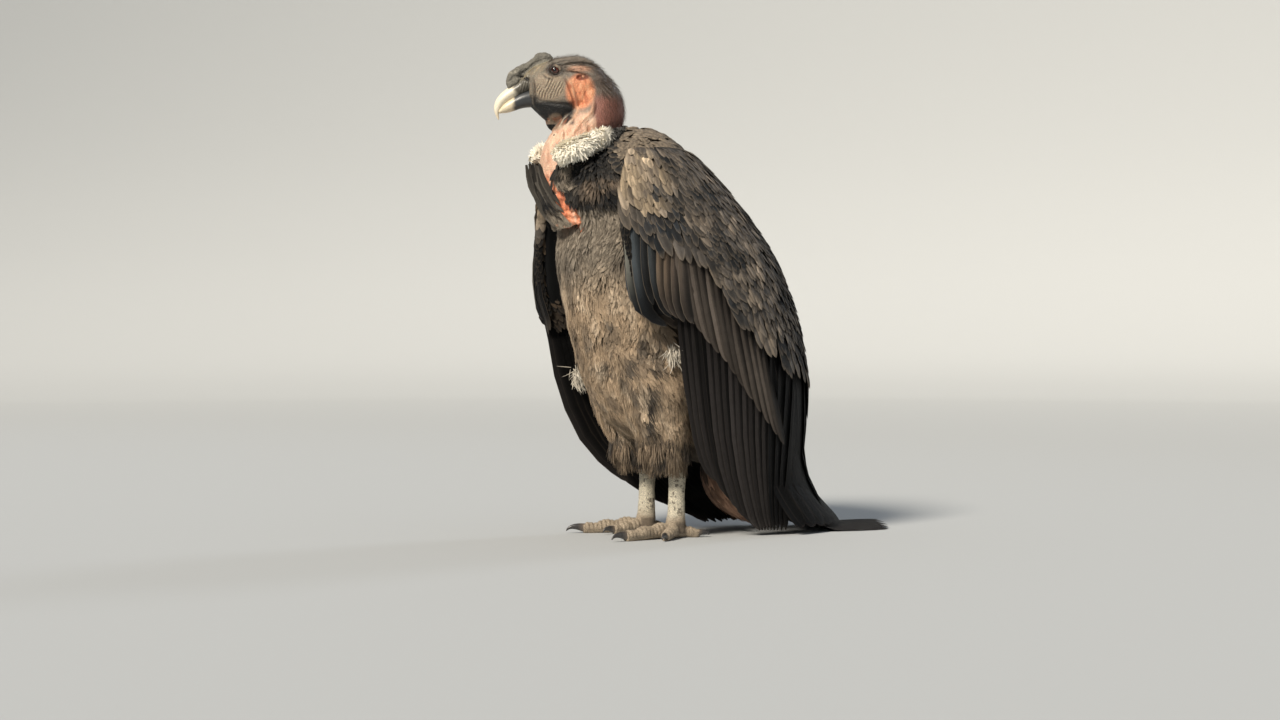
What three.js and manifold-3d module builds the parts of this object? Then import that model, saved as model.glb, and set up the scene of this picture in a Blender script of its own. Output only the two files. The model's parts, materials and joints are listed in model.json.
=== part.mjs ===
// A life-size Andean condor, a male that stands upright with folded wings, as a still display model.
// Millimetres, +Z up, the bird faces -Y and its left side is +X. It stands on the plane z = 0.
// Every sub-part is one closed mesh, and neighbours keep a small gap.
import * as THREE from "three";
import { LoftGeometry } from "three/addons/geometries/LoftGeometry.js";
import { mergeVertices } from "three/addons/utils/BufferGeometryUtils.js";
import Module from "manifold-3d";

const wasm = await Module();
wasm.setup();

// Driving sizes
const GAP = 0.35; // air between two sub-parts that meet
const SIDES = { left: 1, right: -1 };
const EYE_HEIGHT = 758; // above the floor
const HEAD_YAW = 0.32; // radians that the head turns to the bird's right
const LEG_SPREAD = 57; // each tarsus from the mid-plane
const LEG_Y = 11;
const FOOT_HEIGHT = 24;
const FLOOR_CLEARANCE = 4; // wing tips above the floor

// Torso sections from the vent up: height, centre y, half width, depth in front and depth behind
const TORSO = [
  [106, 152, 12, 14, 14],
  [116, 142, 38, 46, 52],
  [136, 120, 62, 104, 88],
  [170, 90, 86, 145, 128],
  [223, 60, 108, 166, 162],
  [305, 30, 126, 166, 184],
  [388, 5, 137, 161, 186],
  [454, -15, 141, 150, 176],
  [496, -27, 142, 135, 166],
  [522, -31, 144, 133, 156],
  [550, -36, 150, 140, 141],
  [582, -42, 140, 132, 120],
  [612, -46, 121, 107, 96],
  [640, -48, 92, 68, 70],
  [660, -50, 54, 36, 42],
  [668, -50, 14, 12, 12],
];
const TORSO_RING = 24;
const TORSO_LEVELS = 17;

// Wing surface sections from the tips up: height, y of the widest point, half width, depth behind it,
// then x and y of the leading edge
const WINGS = {
  left: [
    [8, 205, 92, 128, 88, 150],
    [61, 165, 110, 128, 104, 92],
    [117, 125, 127, 138, 119, 32],
    [173, 105, 141, 160, 131, 12],
    [256, 75, 156, 190, 146, -10],
    [320, 47, 166, 206, 150, -34],
    [346, 35, 170, 211, 150, -50],
    [372, 25, 173, 212, 146, -94],
    [396, 15, 175, 212, 147, -111],
    [454, -5, 177, 203, 148, -121],
    [511, -25, 174, 179, 146, -128],
    [569, -40, 163, 140, 140, -126],
    [610, -45, 141, 100, 122, -108],
    [640, -46, 108, 66, 90, -80],
  ],
  right: [
    [8, 205, 96, 128, 92, 112],
    [61, 160, 122, 133, 116, 28],
    [117, 118, 142, 145, 136, -36],
    [173, 90, 156, 175, 150, -76],
    [256, 60, 170, 205, 163, -105],
    [346, 28, 182, 218, 172, -122],
    [396, 12, 186, 215, 175, -138],
    [454, -5, 186, 203, 174, -144],
    [511, -25, 181, 179, 167, -144],
    [569, -40, 165, 140, 150, -137],
    [610, -45, 141, 100, 122, -108],
    [640, -46, 108, 66, 90, -80],
  ],
};
const WING_THICKNESS = 17;
const WING_CORE = { bottom: 168, top: 636, levels: 6, across: 5 };

// Tiers of wing feathers, the top one first: roots and tips as heights at the leading edge and at the back.
// `reach` is the part of the wing's width that a tier covers, counted from the leading edge.
const TIERS = [
  { count: 5, half: 33, lift: 5.3, root: [626, 618], tip: [578, 552], reach: 1 },
  { count: 5, half: 38, lift: 5.0, root: [590, 566], tip: [512, 474], reach: 1 },
  { count: 6, half: 38, lift: 4.4, root: [535, 498], tip: [446, 392], reach: 1 },
  { count: 4, half: 19, lift: 6.2, root: [462, 448], tip: [352, 338], reach: 0.3 },
  { count: 6, half: 39, lift: 3.8, root: [475, 425], tip: [366, 288], reach: 1 },
  { count: 7, half: 38, lift: 3.2, root: [400, 330], tip: [298, 180], reach: 1 },
];
const TIER_SINK = 6; // how deep a tier's roots lie in the wing
const FLIGHT = { count: 9, half: 34, lift: 1.6, sink: 5, root: [345, 262] };
// Heights of the flight feathers' tips from the leading edge back
const FLIGHT_TIPS = {
  left: [[0, 118], [0.2, 62], [0.4, 24], [0.6, 14], [0.8, 22], [1, 96]],
  right: [[0, 101], [0.2, 44], [0.4, 18], [0.6, 12], [0.8, 20], [1, 96]],
};
// The back edge of the folded wing: height, then place round the wing
const BACK_EDGE = [[0, 0.97], [400, 0.97], [450, 0.93], [540, 0.76], [600, 0.62], [640, 0.55]];
const PRIMARIES = { count: 2, half: 28, length: 120 };

// Neck from inside the chest to inside the head: x, y, z, half width, half depth
const NECK = [
  [0, -128, 520, 52, 52],
  [0, -146, 565, 48, 50],
  [0, -158, 611, 42, 43],
  [0, -138, 645, 42, 44],
  [0, -110, 677, 43, 45],
  [-1, -106, 707, 41, 43],
  [-3, -122, 733, 34, 35],
  [-11, -149, 745, 24, 24],
];

// Head sections from the nape forward, from the eye: forward, centre height, up, down, half width
const HEAD = [
  [-88, -22, 6, 8, 8],
  [-80, -20, 20, 24, 24],
  [-64, -18, 33, 38, 33],
  [-44, -16, 40, 52, 35.5],
  [-22, -16, 40, 67, 34],
  [0, -16, 36, 71, 29],
  [18, -18, 32, 58, 24.5],
  [32, -20, 27, 43, 20],
  [41, -22, 22, 33, 17],
];
// Comb sections, from the eye: forward, centre height, half height, half width
const COMB = [
  [77.5, -17, 5, 4],
  [74, -18, 11, 8.5],
  [68, -13, 14, 10.5],
  [60, -9, 15, 10.5],
  [50, -3, 14, 9],
  [42, 4, 13, 8],
  [33, 11, 13.5, 8],
  [24, 16, 13.5, 9.5],
  [14, 19, 12.5, 9.5],
  [7, 19, 10, 7.5],
  [2, 19, 5, 4],
];
// Bill paths, from the eye: forward, height, half height across the path, half width
const UPPER_BILL = [
  [34, -15, 18, 15.5],
  [46, -21, 14, 13.6],
  [58, -28.5, 11.5, 12],
  [70, -35.5, 10, 10.6],
  [81, -43.5, 9, 8.8],
  [88, -51.5, 7.8, 7],
  [92, -60.5, 5.8, 5],
  [92.5, -69, 3.2, 3.2],
  [90, -78.5, 1, 1],
];
const LOWER_BILL = [
  [34, -43, 15, 14],
  [47, -45.5, 13.5, 12.8],
  [59, -50, 11.5, 11.4],
  [70, -55.5, 10, 9.8],
  [80, -61, 7.4, 8],
  [89.5, -66.5, 2.4, 3.2],
];
const EYE = { radius: 8.2, forward: 0, up: 0, out: 22.6 };
// The ear is a shallow oval hollow behind the eye.
const EAR = { forward: -42, up: -11, out: 38.5, reach: new THREE.Vector3(6, 8.5, 5) };

// Thigh sections from the knee up: height, y, half width, half depth
const THIGH = [
  [104, 0, 25, 29],
  [122, -6, 34, 37],
  [160, -14, 46, 46],
  [205, -24, 54, 56],
  [255, -36, 56, 63],
  [300, -50, 46, 66],
  [330, -60, 26, 48],
];
const THIGH_LEAN = 0.12; // how much further apart the thighs stand at the top, as a share of the spread
// Tarsus sections from the foot up: height, y behind the leg's line, half width, half depth
const TARSUS = [
  [FOOT_HEIGHT, -1, 15.5, 16.5],
  [40, 0, 13.6, 14.6],
  [80, 1, 12.6, 13.6],
  [118, 3, 14, 15.5],
  [140, 5, 15.5, 17],
];
// Toes: direction from straight ahead towards the outside, length to the claw, claw length, radius
const TOES = {
  middle: { turn: 0.26, length: 104, claw: 40, radius: 11 },
  inner: { turn: -0.2, length: 66, claw: 30, radius: 9.5 },
  outer: { turn: 0.86, length: 66, claw: 28, radius: 9.5 },
  hind: { turn: 2.85, length: 36, claw: 24, radius: 8.5 },
};

// Tail feathers, from the mid-line out
const TAIL = { pairs: 6, half: 27, root: 15, spread: 72, rootY: 196, rootZ: 112, tipY: 428, layer: 1.7 };
// Soft feathers that hang under the tail's root
const UNDERTAIL = { count: 5, half: 22, spread: 34, path: [[168, 122], [176, 84], [196, 44], [226, 12]] };

const v3 = (x, y, z) => new THREE.Vector3(x, y, z);
const mix = THREE.MathUtils.lerp;

// A seeded spread of up to `reach` either way, so that no two feathers are quite alike.
THREE.MathUtils.seededRandom(42);
const vary = (reach) => (2 * THREE.MathUtils.seededRandom() - 1) * reach;

// The values after the first in each row, at x, on a smooth curve through every row.
function smoothRow(rows, x) {
  const last = rows.length - 1;
  const at = THREE.MathUtils.clamp(x, rows[0][0], rows[last][0]);
  let i = 0;
  while (i < last - 1 && at > rows[i + 1][0]) i += 1;
  const slope = (k, c) => {
    const a = rows[Math.max(k - 1, 0)];
    const b = rows[Math.min(k + 1, last)];
    return (b[c] - a[c]) / (b[0] - a[0]);
  };
  const [p, q] = [rows[i], rows[i + 1]];
  const h = q[0] - p[0];
  const t = (at - p[0]) / h;
  const t2 = t * t;
  const t3 = t2 * t;
  return p.slice(1).map((value, k) => {
    const c = k + 1;
    const ends = (2 * t3 - 3 * t2 + 1) * value + (3 * t2 - 2 * t3) * q[c];
    return ends + h * ((t3 - 2 * t2 + t) * slope(i, c) + (t3 - t2) * slope(i + 1, c));
  });
}

// A closed three.js geometry as a manifold-3d solid.
function solidOf(geometry) {
  const bare = new THREE.BufferGeometry().copy(geometry);
  bare.deleteAttribute("normal");
  bare.deleteAttribute("uv");
  const merged = mergeVertices(bare, 1e-4);
  return new wasm.Manifold(
    new wasm.Mesh({
      numProp: 3,
      vertProperties: merged.attributes.position.array,
      triVerts: new Uint32Array(merged.index.array),
    }),
  );
}

// A closed solid through outlines of equal count, each turned so that the faces point out.
function loft(sections) {
  const [first, second] = sections;
  const middle = (points) =>
    points.reduce((sum, p) => sum.add(p), v3(0, 0, 0)).divideScalar(points.length);
  const centre = middle(first);
  const normal = v3(0, 0, 0);
  first.forEach((p, i) => {
    const next = first[(i + 1) % first.length];
    normal.add(p.clone().sub(centre).cross(next.clone().sub(centre)));
  });
  const turned = normal.dot(middle(second).sub(centre)) < 0;
  const rows = turned ? sections.map((points) => points.toReversed()) : sections;
  return solidOf(new LoftGeometry(rows, { capStart: true, capEnd: true }));
}

const join = (solids) => wasm.Manifold.union(solids);
const ball = (radius, place, scale, segments = 16) => {
  const geometry = new THREE.SphereGeometry(radius, segments, Math.round(segments * 0.6));
  geometry.scale(scale.x, scale.y, scale.z);
  geometry.translate(place.x, place.y, place.z);
  return solidOf(geometry);
};

// The largest closed piece of a solid, with slivers left by the cuts taken away.
function largest(solid) {
  const pieces = solid.simplify(0.02).decompose();
  return pieces.reduce((a, b) => (b.volume() > a.volume() ? b : a));
}

// An oval ring of points round a centre: along `side` by `wide`, along `up` by `high` and `low`.
function ring(centre, side, up, wide, high, low, count) {
  return Array.from({ length: count }, (_, i) => {
    const angle = (i / count) * Math.PI * 2;
    const rise = Math.sin(angle);
    return centre
      .clone()
      .addScaledVector(side, wide * Math.cos(angle))
      .addScaledVector(up, rise * (rise > 0 ? high : low));
  });
}

// Ovals set square to a path. Each stop holds its centre, half width and half height.
function sweep(stops, count, side = v3(1, 0, 0)) {
  return loft(
    stops.map((stop, i) => {
      const ahead = stops[Math.min(i + 1, stops.length - 1)].centre;
      const behind = stops[Math.max(i - 1, 0)].centre;
      const along = ahead.clone().sub(behind).normalize();
      const across = side.clone().addScaledVector(along, -side.dot(along)).normalize();
      const up = across.clone().cross(along);
      return ring(stop.centre, across, up, stop.wide, stop.high, stop.high, count);
    }),
  );
}

// A point of the head frame, `forward` and `out` to the bird's left of the eye line's middle.
const HEAD_ORIGIN = v3(-18.5, -173, EYE_HEIGHT);
const HEAD_FORWARD = v3(-Math.sin(HEAD_YAW), -Math.cos(HEAD_YAW), 0);
const HEAD_LEFT = v3(Math.cos(HEAD_YAW), -Math.sin(HEAD_YAW), 0);
const UP = v3(0, 0, 1);
const headPoint = (forward, out, up) =>
  HEAD_ORIGIN.clone()
    .addScaledVector(HEAD_FORWARD, forward)
    .addScaledVector(HEAD_LEFT, out)
    .addScaledVector(UP, up);

// Points of a table at even steps of its first column, with the rows' own ends kept.
function steps(rows, count) {
  return Array.from({ length: count }, (_, i) => {
    const t = i / (count - 1);
    const x = mix(rows[0][0], rows[rows.length - 1][0], t);
    return [x, ...smoothRow(rows, x)];
  });
}

// Torso

function torsoPoint(height, angle, grow = 0) {
  const [y, wide, front, back] = smoothRow(TORSO, height);
  const deep = Math.sin(angle) < 0 ? front : back;
  return v3((wide + grow) * Math.cos(angle), y + (deep + grow) * Math.sin(angle), height);
}

function torsoSolid(grow = 0) {
  const low = TORSO[0][0];
  const high = TORSO[TORSO.length - 1][0];
  return loft(
    Array.from({ length: TORSO_LEVELS }, (_, i) => {
      const t = i / (TORSO_LEVELS - 1);
      const level = mix(low, high, t - 0.06 * Math.sin(2 * Math.PI * t));
      return Array.from({ length: TORSO_RING }, (_, k) => {
        const point = torsoPoint(level, (k / TORSO_RING) * Math.PI * 2, grow);
        point.z += grow * Math.sign(t - 0.5) * Number(i === 0 || i === TORSO_LEVELS - 1);
        return point;
      });
    }),
  );
}

// Neck and head

function neckSolid(grow = 0) {
  const curve = new THREE.CatmullRomCurve3(NECK.map(([x, y, z]) => v3(x, y, z)));
  const count = 15;
  const rows = NECK.map(([, , , wide, deep], i) => [i / (NECK.length - 1), wide, deep]);
  const stops = Array.from({ length: count }, (_, i) => {
    const t = i / (count - 1);
    const [wide, deep] = smoothRow(rows, t);
    const wrinkle = 1.3 * Math.sin(t * 34) * Number(t > 0.3 && t < 0.8);
    return { centre: curve.getPoint(t), wide: wide + grow + wrinkle, high: deep + grow + wrinkle };
  });
  return sweep(stops, 18);
}

function headLoft(grow = 0) {
  return loft(
    steps(HEAD, 12).map(([forward, centre, up, down, wide], i, all) => {
      const shift = grow * (Number(i === all.length - 1) - Number(i === 0));
      const middle = headPoint(forward + shift, 0, centre);
      return ring(middle, HEAD_LEFT, UP, wide + grow, up + grow, down + grow, 18);
    }),
  );
}

// A fold of bare skin as a thin raised cord through the given points of the head frame.
function fold(points, radius, grow) {
  const curve = new THREE.CatmullRomCurve3(points.map(([f, o, u]) => headPoint(f, o, u)));
  const count = 5;
  const stops = Array.from({ length: count }, (_, i) => {
    const t = i / (count - 1);
    const taper = 0.25 + 0.75 * Math.sin(Math.PI * t) ** 0.7;
    return { centre: curve.getPoint(t), wide: radius * taper * 0.6 + grow, high: radius * taper + grow };
  });
  return sweep(stops, 4, HEAD_LEFT);
}

// The parted lids: a raised ring round the eye, longer than it is high.
function lidRing(side, grow) {
  const centre = headPoint(EYE.forward, side * (EYE.out + 3.4), EYE.up);
  const torus = new THREE.TorusGeometry(9.2, 2.3 + grow, 4, 12);
  torus.scale(1.18, 0.92, 1);
  torus.rotateX(Math.PI / 2);
  torus.rotateZ(-HEAD_YAW + Math.PI / 2);
  torus.translate(centre.x, centre.y, centre.z);
  return solidOf(torus);
}

function headSolid(grow = 0) {
  const folds = Object.values(SIDES).flatMap((side) => [
    fold([[18, side * 22, 9], [0, side * 29, 13], [-40, side * 34, 10]], 3.6, grow),
    fold([[-10, side * 31, -4], [-34, side * 35, -2], [-54, side * 34.5, -22]], 3, grow),
    fold([[-24, side * 33.5, -12], [-30, side * 34, -34], [-34, side * 31, -56]], 3.2, grow),
    fold([[37, side * 17.5, -16], [35, side * 18.5, -34], [31, side * 18, -52]], 2.6, grow),
    lidRing(side, grow),
  ]);
  let head = join([headLoft(grow), ...folds]);
  if (grow > 0) return head;
  for (const side of Object.values(SIDES)) {
    const cup = ball(1, headPoint(EAR.forward, side * EAR.out, EAR.up), EAR.reach, 10);
    head = head.subtract(cup).subtract(eyeSolid(side, GAP));
  }
  return head;
}

function eyeSolid(side, grow = 0) {
  const r = EYE.radius + grow;
  return ball(1, headPoint(EYE.forward, side * EYE.out, EYE.up), v3(r, r, r), 12);
}

// The comb: a tall narrow lobe with two swellings and a groove along each side.
function combSolid(grow = 0) {
  const sections = steps(COMB.toReversed(), 14).map(([forward, centre, high, wide], i, all) => {
    const along = i / (all.length - 1);
    const count = 14;
    return Array.from({ length: count }, (_, k) => {
      const angle = (k / count) * Math.PI * 2;
      const lump = 1 + 0.09 * Math.sin(along * 19 + 2 * angle) + 0.05 * Math.sin(along * 41);
      const pinch = 1 - 0.28 * Math.exp(-((Math.sin(angle) / 0.28) ** 2));
      return headPoint(
        forward,
        (wide * lump * pinch + grow) * Math.cos(angle),
        centre + (high * lump + grow) * Math.sin(angle),
      );
    });
  });
  return loft(sections);
}

// A bill half: ovals square to its own curved path in the head's mid-plane.
function billHalf(rows, grow = 0) {
  const stops = rows.map(([forward, up, high, wide]) => ({
    centre: headPoint(forward, 0, up),
    wide: wide + grow,
    high: high + grow,
  }));
  const curve = new THREE.CatmullRomCurve3(stops.map((stop) => stop.centre));
  const table = stops.map(({ wide, high }, i) => [i / (stops.length - 1), wide, high]);
  const count = 11;
  const fine = Array.from({ length: count }, (_, i) => {
    const t = i / (count - 1);
    const [wide, high] = smoothRow(table, t);
    return { centre: curve.getPoint(t), wide, high };
  });
  return sweep(fine, 12, HEAD_LEFT);
}

// Each nostril is a slanting slot sunk into the side of the bill's soft base.
function nostril(side) {
  const slot = new THREE.SphereGeometry(1, 10, 6);
  slot.scale(9, 7, 3.2);
  slot.rotateY(0.75);
  slot.rotateZ(-HEAD_YAW + Math.PI / 2);
  const place = headPoint(45.5, side * 18, -13);
  slot.translate(place.x, place.y, place.z);
  return solidOf(slot);
}

// The throat wattle: a hanging flap of skin under the jaw.
function wattleSolid() {
  return billHalf([
    [8, -72, 8, 9],
    [3, -81, 11, 10],
    [-3, -88, 11, 9],
    [-7, -94, 8, 7],
    [-9, -100, 4, 4],
  ]);
}

// Feathers

// One feather vane: a tapered plate along `place(t)`, which gives its centre, its outward normal and side.
// `width(t)` is its half width, `tip` the end's share of it, and a ridge raises the shaft.
function vane(place, half, { stations, ridge = 0, edge = 0.5, tilt = 0 }) {
  const rows = [[0, 0.5], [0.3, 0.92], [0.6, 1], [0.84, 0.84], [0.95, 0.5], [1, 0.2]];
  const sections = stations.map((t) => {
    const { centre, out, side } = place(t);
    const [share] = smoothRow(rows, t);
    const front = centre.clone().addScaledVector(side, -half * share).addScaledVector(out, tilt);
    const rear = centre.clone().addScaledVector(side, half * share).addScaledVector(out, -tilt);
    const shaft = centre.clone().addScaledVector(out, edge + ridge);
    const shift = (p, by) => p.clone().addScaledVector(out, by);
    const outline = [shift(front, -edge), shift(front, edge), shift(rear, edge), shift(rear, -edge)];
    if (ridge > 0) outline.splice(2, 0, shaft);
    return outline;
  });
  return loft(sections);
}

// Wings

function wingPoint(name, place, height) {
  const [middle, wide, back, edgeX, edgeY] = smoothRow(WINGS[name], height);
  const side = SIDES[name];
  if (place < 0) {
    const x = wide - (wide - edgeX) * place * place;
    return v3(side * x, middle + (middle - edgeY) * place, height);
  }
  const angle = (place * Math.PI) / 2;
  return v3(side * wide * Math.cos(angle), middle + back * Math.sin(angle), height);
}

function wingNormal(name, place, height) {
  const step = 0.02;
  const around = wingPoint(name, place + step, height).sub(wingPoint(name, place - step, height));
  const rise = wingPoint(name, place, height + 3).sub(wingPoint(name, place, height - 3));
  return around.cross(rise).multiplyScalar(SIDES[name]).normalize();
}

// The place and directions of a feather that runs over the wing from `root` to `tip`.
function overWing(name, root, tip, lift, sink) {
  const at = (t) => {
    const place = mix(root[0], tip[0], t);
    const height = mix(root[1], tip[1], t);
    const out = wingNormal(name, place, height);
    const raised = mix(-sink, lift, Math.min(1, t * 1.6));
    return { centre: wingPoint(name, place, height).addScaledVector(out, raised), out };
  };
  const middle = at(0.6);
  const side = middle.out.clone().cross(at(0.65).centre.sub(middle.centre)).normalize();
  side.multiplyScalar(-SIDES[name]);
  return (t) => {
    const along = at(t + 0.02).centre.sub(at(t - 0.02).centre);
    const out = side.clone().cross(along).normalize().multiplyScalar(SIDES[name]);
    return { centre: at(t).centre, out, side };
  };
}

// The wing's arm and hand: a bent shell under the feathers, thick at the leading edge.
function wingCore(name) {
  const { bottom, top, levels, across } = WING_CORE;
  return loft(
    Array.from({ length: levels }, (_, i) => {
      const height = mix(bottom, top, i / (levels - 1));
      const rearmost = Math.min(0.95, 0.5 + (top - height) / 300);
      const low = THREE.MathUtils.smoothstep(height, 150, 420);
      const foremost = mix(-0.9, -0.97, low);
      const outer = [];
      const inner = [];
      for (let k = 0; k < across; k += 1) {
        const t = k / (across - 1);
        const place = mix(foremost, rearmost, t);
        const point = wingPoint(name, place, height);
        const out = wingNormal(name, place, height);
        const thick = WING_THICKNESS * mix(0.5, 1, low) * mix(1.25, 0.7, t);
        outer.push(point.clone().addScaledVector(out, -1.5 - (k === 0 ? 3 : 0)));
        inner.unshift(point.clone().addScaledVector(out, -1.5 - thick + (k === 0 ? 3 : 0)));
      }
      return [...outer, ...inner];
    }),
  );
}

const SMALL_STATIONS = [0, 0.5, 0.85, 1];
const LONG_STATIONS = [0, 0.48, 0.87, 1];

// Where a feather `t` of the way from the leading edge to the back has its mid-line at a height.
function wingPlace(name, t, height, half, reach = 1) {
  const [middle, wide, , edgeX, edgeY] = smoothRow(WINGS[name], height);
  const front = -1 + half / Math.hypot(wide - edgeX, middle - edgeY);
  const back = mix(front, smoothRow(BACK_EDGE, height)[0] - half / 300, reach);
  return mix(front, back, t);
}

function wingFeathers(name) {
  const vanes = [];
  TIERS.forEach(({ count, half, lift, root, tip, reach }) => {
    for (let i = 0; i < count; i += 1) {
      const t = i / (count - 1);
      const high = mix(root[0], root[1], t) + vary(2);
      const low = mix(tip[0], tip[1], t) + vary(6);
      const from = [wingPlace(name, t, high, half, reach), high];
      const to = [wingPlace(name, t, low, half, reach), low];
      const options = { stations: SMALL_STATIONS, tilt: 1.2, edge: 0.7 };
      vanes.push(vane(overWing(name, from, to, lift + vary(0.5), TIER_SINK), half + vary(2), options));
    }
  });
  for (let i = 0; i < FLIGHT.count; i += 1) {
    const t = i / (FLIGHT.count - 1);
    const high = mix(FLIGHT.root[0], FLIGHT.root[1], t);
    const [low] = smoothRow(FLIGHT_TIPS[name], t);
    const from = [wingPlace(name, t, high, FLIGHT.half), high];
    const to = [wingPlace(name, t, low, FLIGHT.half), low];
    const place = overWing(name, from, to, FLIGHT.lift + vary(0.4), FLIGHT.sink);
    vanes.push(vane(place, FLIGHT.half, { stations: LONG_STATIONS, tilt: 2, edge: 0.6 }));
  }
  return vanes;
}

// The longest wing feathers show only where they pass the others, low behind the back.
function primaries(name) {
  const { count, half, length } = PRIMARIES;
  return Array.from({ length: count }, (_, i) => {
    const t = i / (count - 1);
    const from = [mix(0.1, 0.5, t), 88];
    const start = wingPoint(name, from[0], from[1]);
    const out = wingNormal(name, from[0], from[1]);
    start.addScaledVector(out, -4 - 1.7 * i);
    const aim = v3(SIDES[name] * mix(-0.12, -0.3, t), 0.74, -0.62).normalize();
    const curve = new THREE.CatmullRomCurve3([
      start,
      start.clone().addScaledVector(aim, length * 0.5),
      start.clone().addScaledVector(aim, length * mix(0.85, 1.05, t)).add(v3(0, 14, 16)),
    ]);
    const place = (u) => {
      const along = curve.getTangent(u);
      const side = out.clone().cross(along).normalize().multiplyScalar(-SIDES[name]);
      return { centre: curve.getPoint(u), out: out.clone(), side };
    };
    return vane(place, half, { stations: [0, 0.3, 0.6, 0.85, 1], ridge: 0.7, edge: 0.6 });
  });
}

function wingSolid(name, torsoGrown) {
  const side = SIDES[name];
  const whole = join([wingCore(name), ...wingFeathers(name), ...primaries(name)]);
  return whole
    .subtract(torsoGrown)
    .trimByPlane([side, 0, 0], 0.4)
    .trimByPlane([0, 0, 1], FLOOR_CLEARANCE);
}

// Tail

function tailSolid(torsoGrown) {
  const { pairs, half, root, spread, rootY, rootZ, tipY, layer } = TAIL;
  const pieces = [
    loft(
      [[150, 150, 26, 30], [178, 132, 34, 26], [200, 104, 30, 16], [216, 84, 22, 9]].map(
        ([y, z, wide, high]) => ring(v3(0, y, z), v3(1, 0, 0), v3(0, 0.6, 0.8), wide, high, high, 14),
      ),
    ),
  ];
  for (let i = 0; i < pairs; i += 1) {
    for (const side of Object.values(SIDES)) {
      const q = side * ((i + 0.5) / pairs);
      const low = (pairs - 1 - i) * layer + (side > 0 ? 0 : layer / 2);
      const curve = new THREE.CatmullRomCurve3([
        v3(q * root, rootY - 14, rootZ + 14),
        v3(q * mix(root, spread, 0.2), rootY + 18, rootZ - 42),
        v3(q * mix(root, spread, 0.42), rootY + 52, 24),
        v3(q * mix(root, spread, 0.66), rootY + 112, 1.2),
        v3(q * spread, tipY - 26 * q * q, 0.8),
      ]);
      const place = (u) => {
        const along = curve.getTangent(u);
        const out = v3(1, 0, 0).cross(along).normalize();
        if (out.z < 0) out.negate();
        const centre = curve.getPoint(u).addScaledVector(out, low);
        return { centre, out, side: v3(1, 0, 0) };
      };
      pieces.push(vane(place, half, { stations: [0, 0.25, 0.5, 0.8, 1], edge: 0.6 }));
    }
  }
  for (let i = 0; i < UNDERTAIL.count; i += 1) {
    const q = (2 * i) / (UNDERTAIL.count - 1) - 1;
    const deeper = 3 * (i % 2) + vary(1);
    const curve = new THREE.CatmullRomCurve3(
      UNDERTAIL.path.map(([y, z], k) => v3(q * UNDERTAIL.spread * (0.4 + 0.2 * k), y - deeper, z + vary(3))),
    );
    const place = (u) => {
      const out = v3(1, 0, 0).cross(curve.getTangent(u)).normalize();
      return { centre: curve.getPoint(u), out, side: v3(1, 0, 0) };
    };
    pieces.push(vane(place, UNDERTAIL.half, { stations: [0, 0.4, 0.75, 1], edge: 0.8 }));
  }
  return join(pieces).subtract(torsoGrown).trimByPlane([0, 0, 1], 0);
}

// Legs

function thighSolid(name, torsoGrown) {
  const count = 11;
  const shape = loft(
    steps(THIGH, count).map(([z, y, wide, deep], i) => {
      const x = SIDES[name] * LEG_SPREAD * (1 + (THIGH_LEAN * i) / (count - 1));
      return ring(v3(x, y, z), v3(1, 0, 0), v3(0, 1, 0), wide, deep, deep, 20);
    }),
  );
  return shape.subtract(torsoGrown).subtract(tarsusSolid(name, GAP));
}

function tarsusSolid(name, grow = 0) {
  const x = SIDES[name] * LEG_SPREAD;
  return loft(
    TARSUS.map(([z, y, wide, deep], i) => {
      const level = z + grow * (Number(i === TARSUS.length - 1) - Number(i === 0));
      const centre = v3(x, LEG_Y + y, level);
      return ring(centre, v3(1, 0, 0), v3(0, 1, 0), wide + grow, deep + grow, deep + grow, 16);
    }),
  );
}

const toeAim = (name, toe) =>
  v3(SIDES[name] * Math.sin(toe.turn), -Math.cos(toe.turn), 0);

// The foot: a palm with four jointed toes, their pads cut flat where they stand.
function footSolid(name) {
  const x = SIDES[name] * LEG_SPREAD;
  const heel = v3(x, LEG_Y, 0);
  const palm = ball(1, v3(x, LEG_Y - 4, 10.5), v3(17, 21, 13), 10);
  const ankle = loft(
    [[8, 15, 17], [16, 15.4, 16.6], [FOOT_HEIGHT - GAP, 15.2, 16]].map(([z, wide, deep]) =>
      ring(v3(x, LEG_Y - 1, z), v3(1, 0, 0), v3(0, 1, 0), wide, deep, deep, 12),
    ),
  );
  const toes = Object.values(TOES).map((toe) => {
    const aim = toeAim(name, toe);
    const joints = 6;
    const stops = Array.from({ length: joints }, (_, i) => {
      const t = i / (joints - 1);
      const knuckle = 1 + 0.12 * Math.cos(t * Math.PI * 6);
      const radius = toe.radius * mix(1.12, 0.8, t) * knuckle;
      const centre = heel.clone().addScaledVector(aim, t * toe.length);
      centre.z = radius * 0.86 - 0.4 + 5 * Math.sin(Math.PI * t) * (1 - t);
      return { centre, wide: radius * 0.95, high: radius };
    });
    return sweep(stops, 8, v3(-aim.y, aim.x, 0));
  });
  const claws = Object.values(TOES).map((toe) => clawSolid(name, toe, GAP));
  return join([palm, ankle, ...toes])
    .subtract(join(claws))
    .trimByPlane([0, 0, 1], 0)
    .trimByPlane([0, 0, -1], GAP - FOOT_HEIGHT);
}

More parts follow.
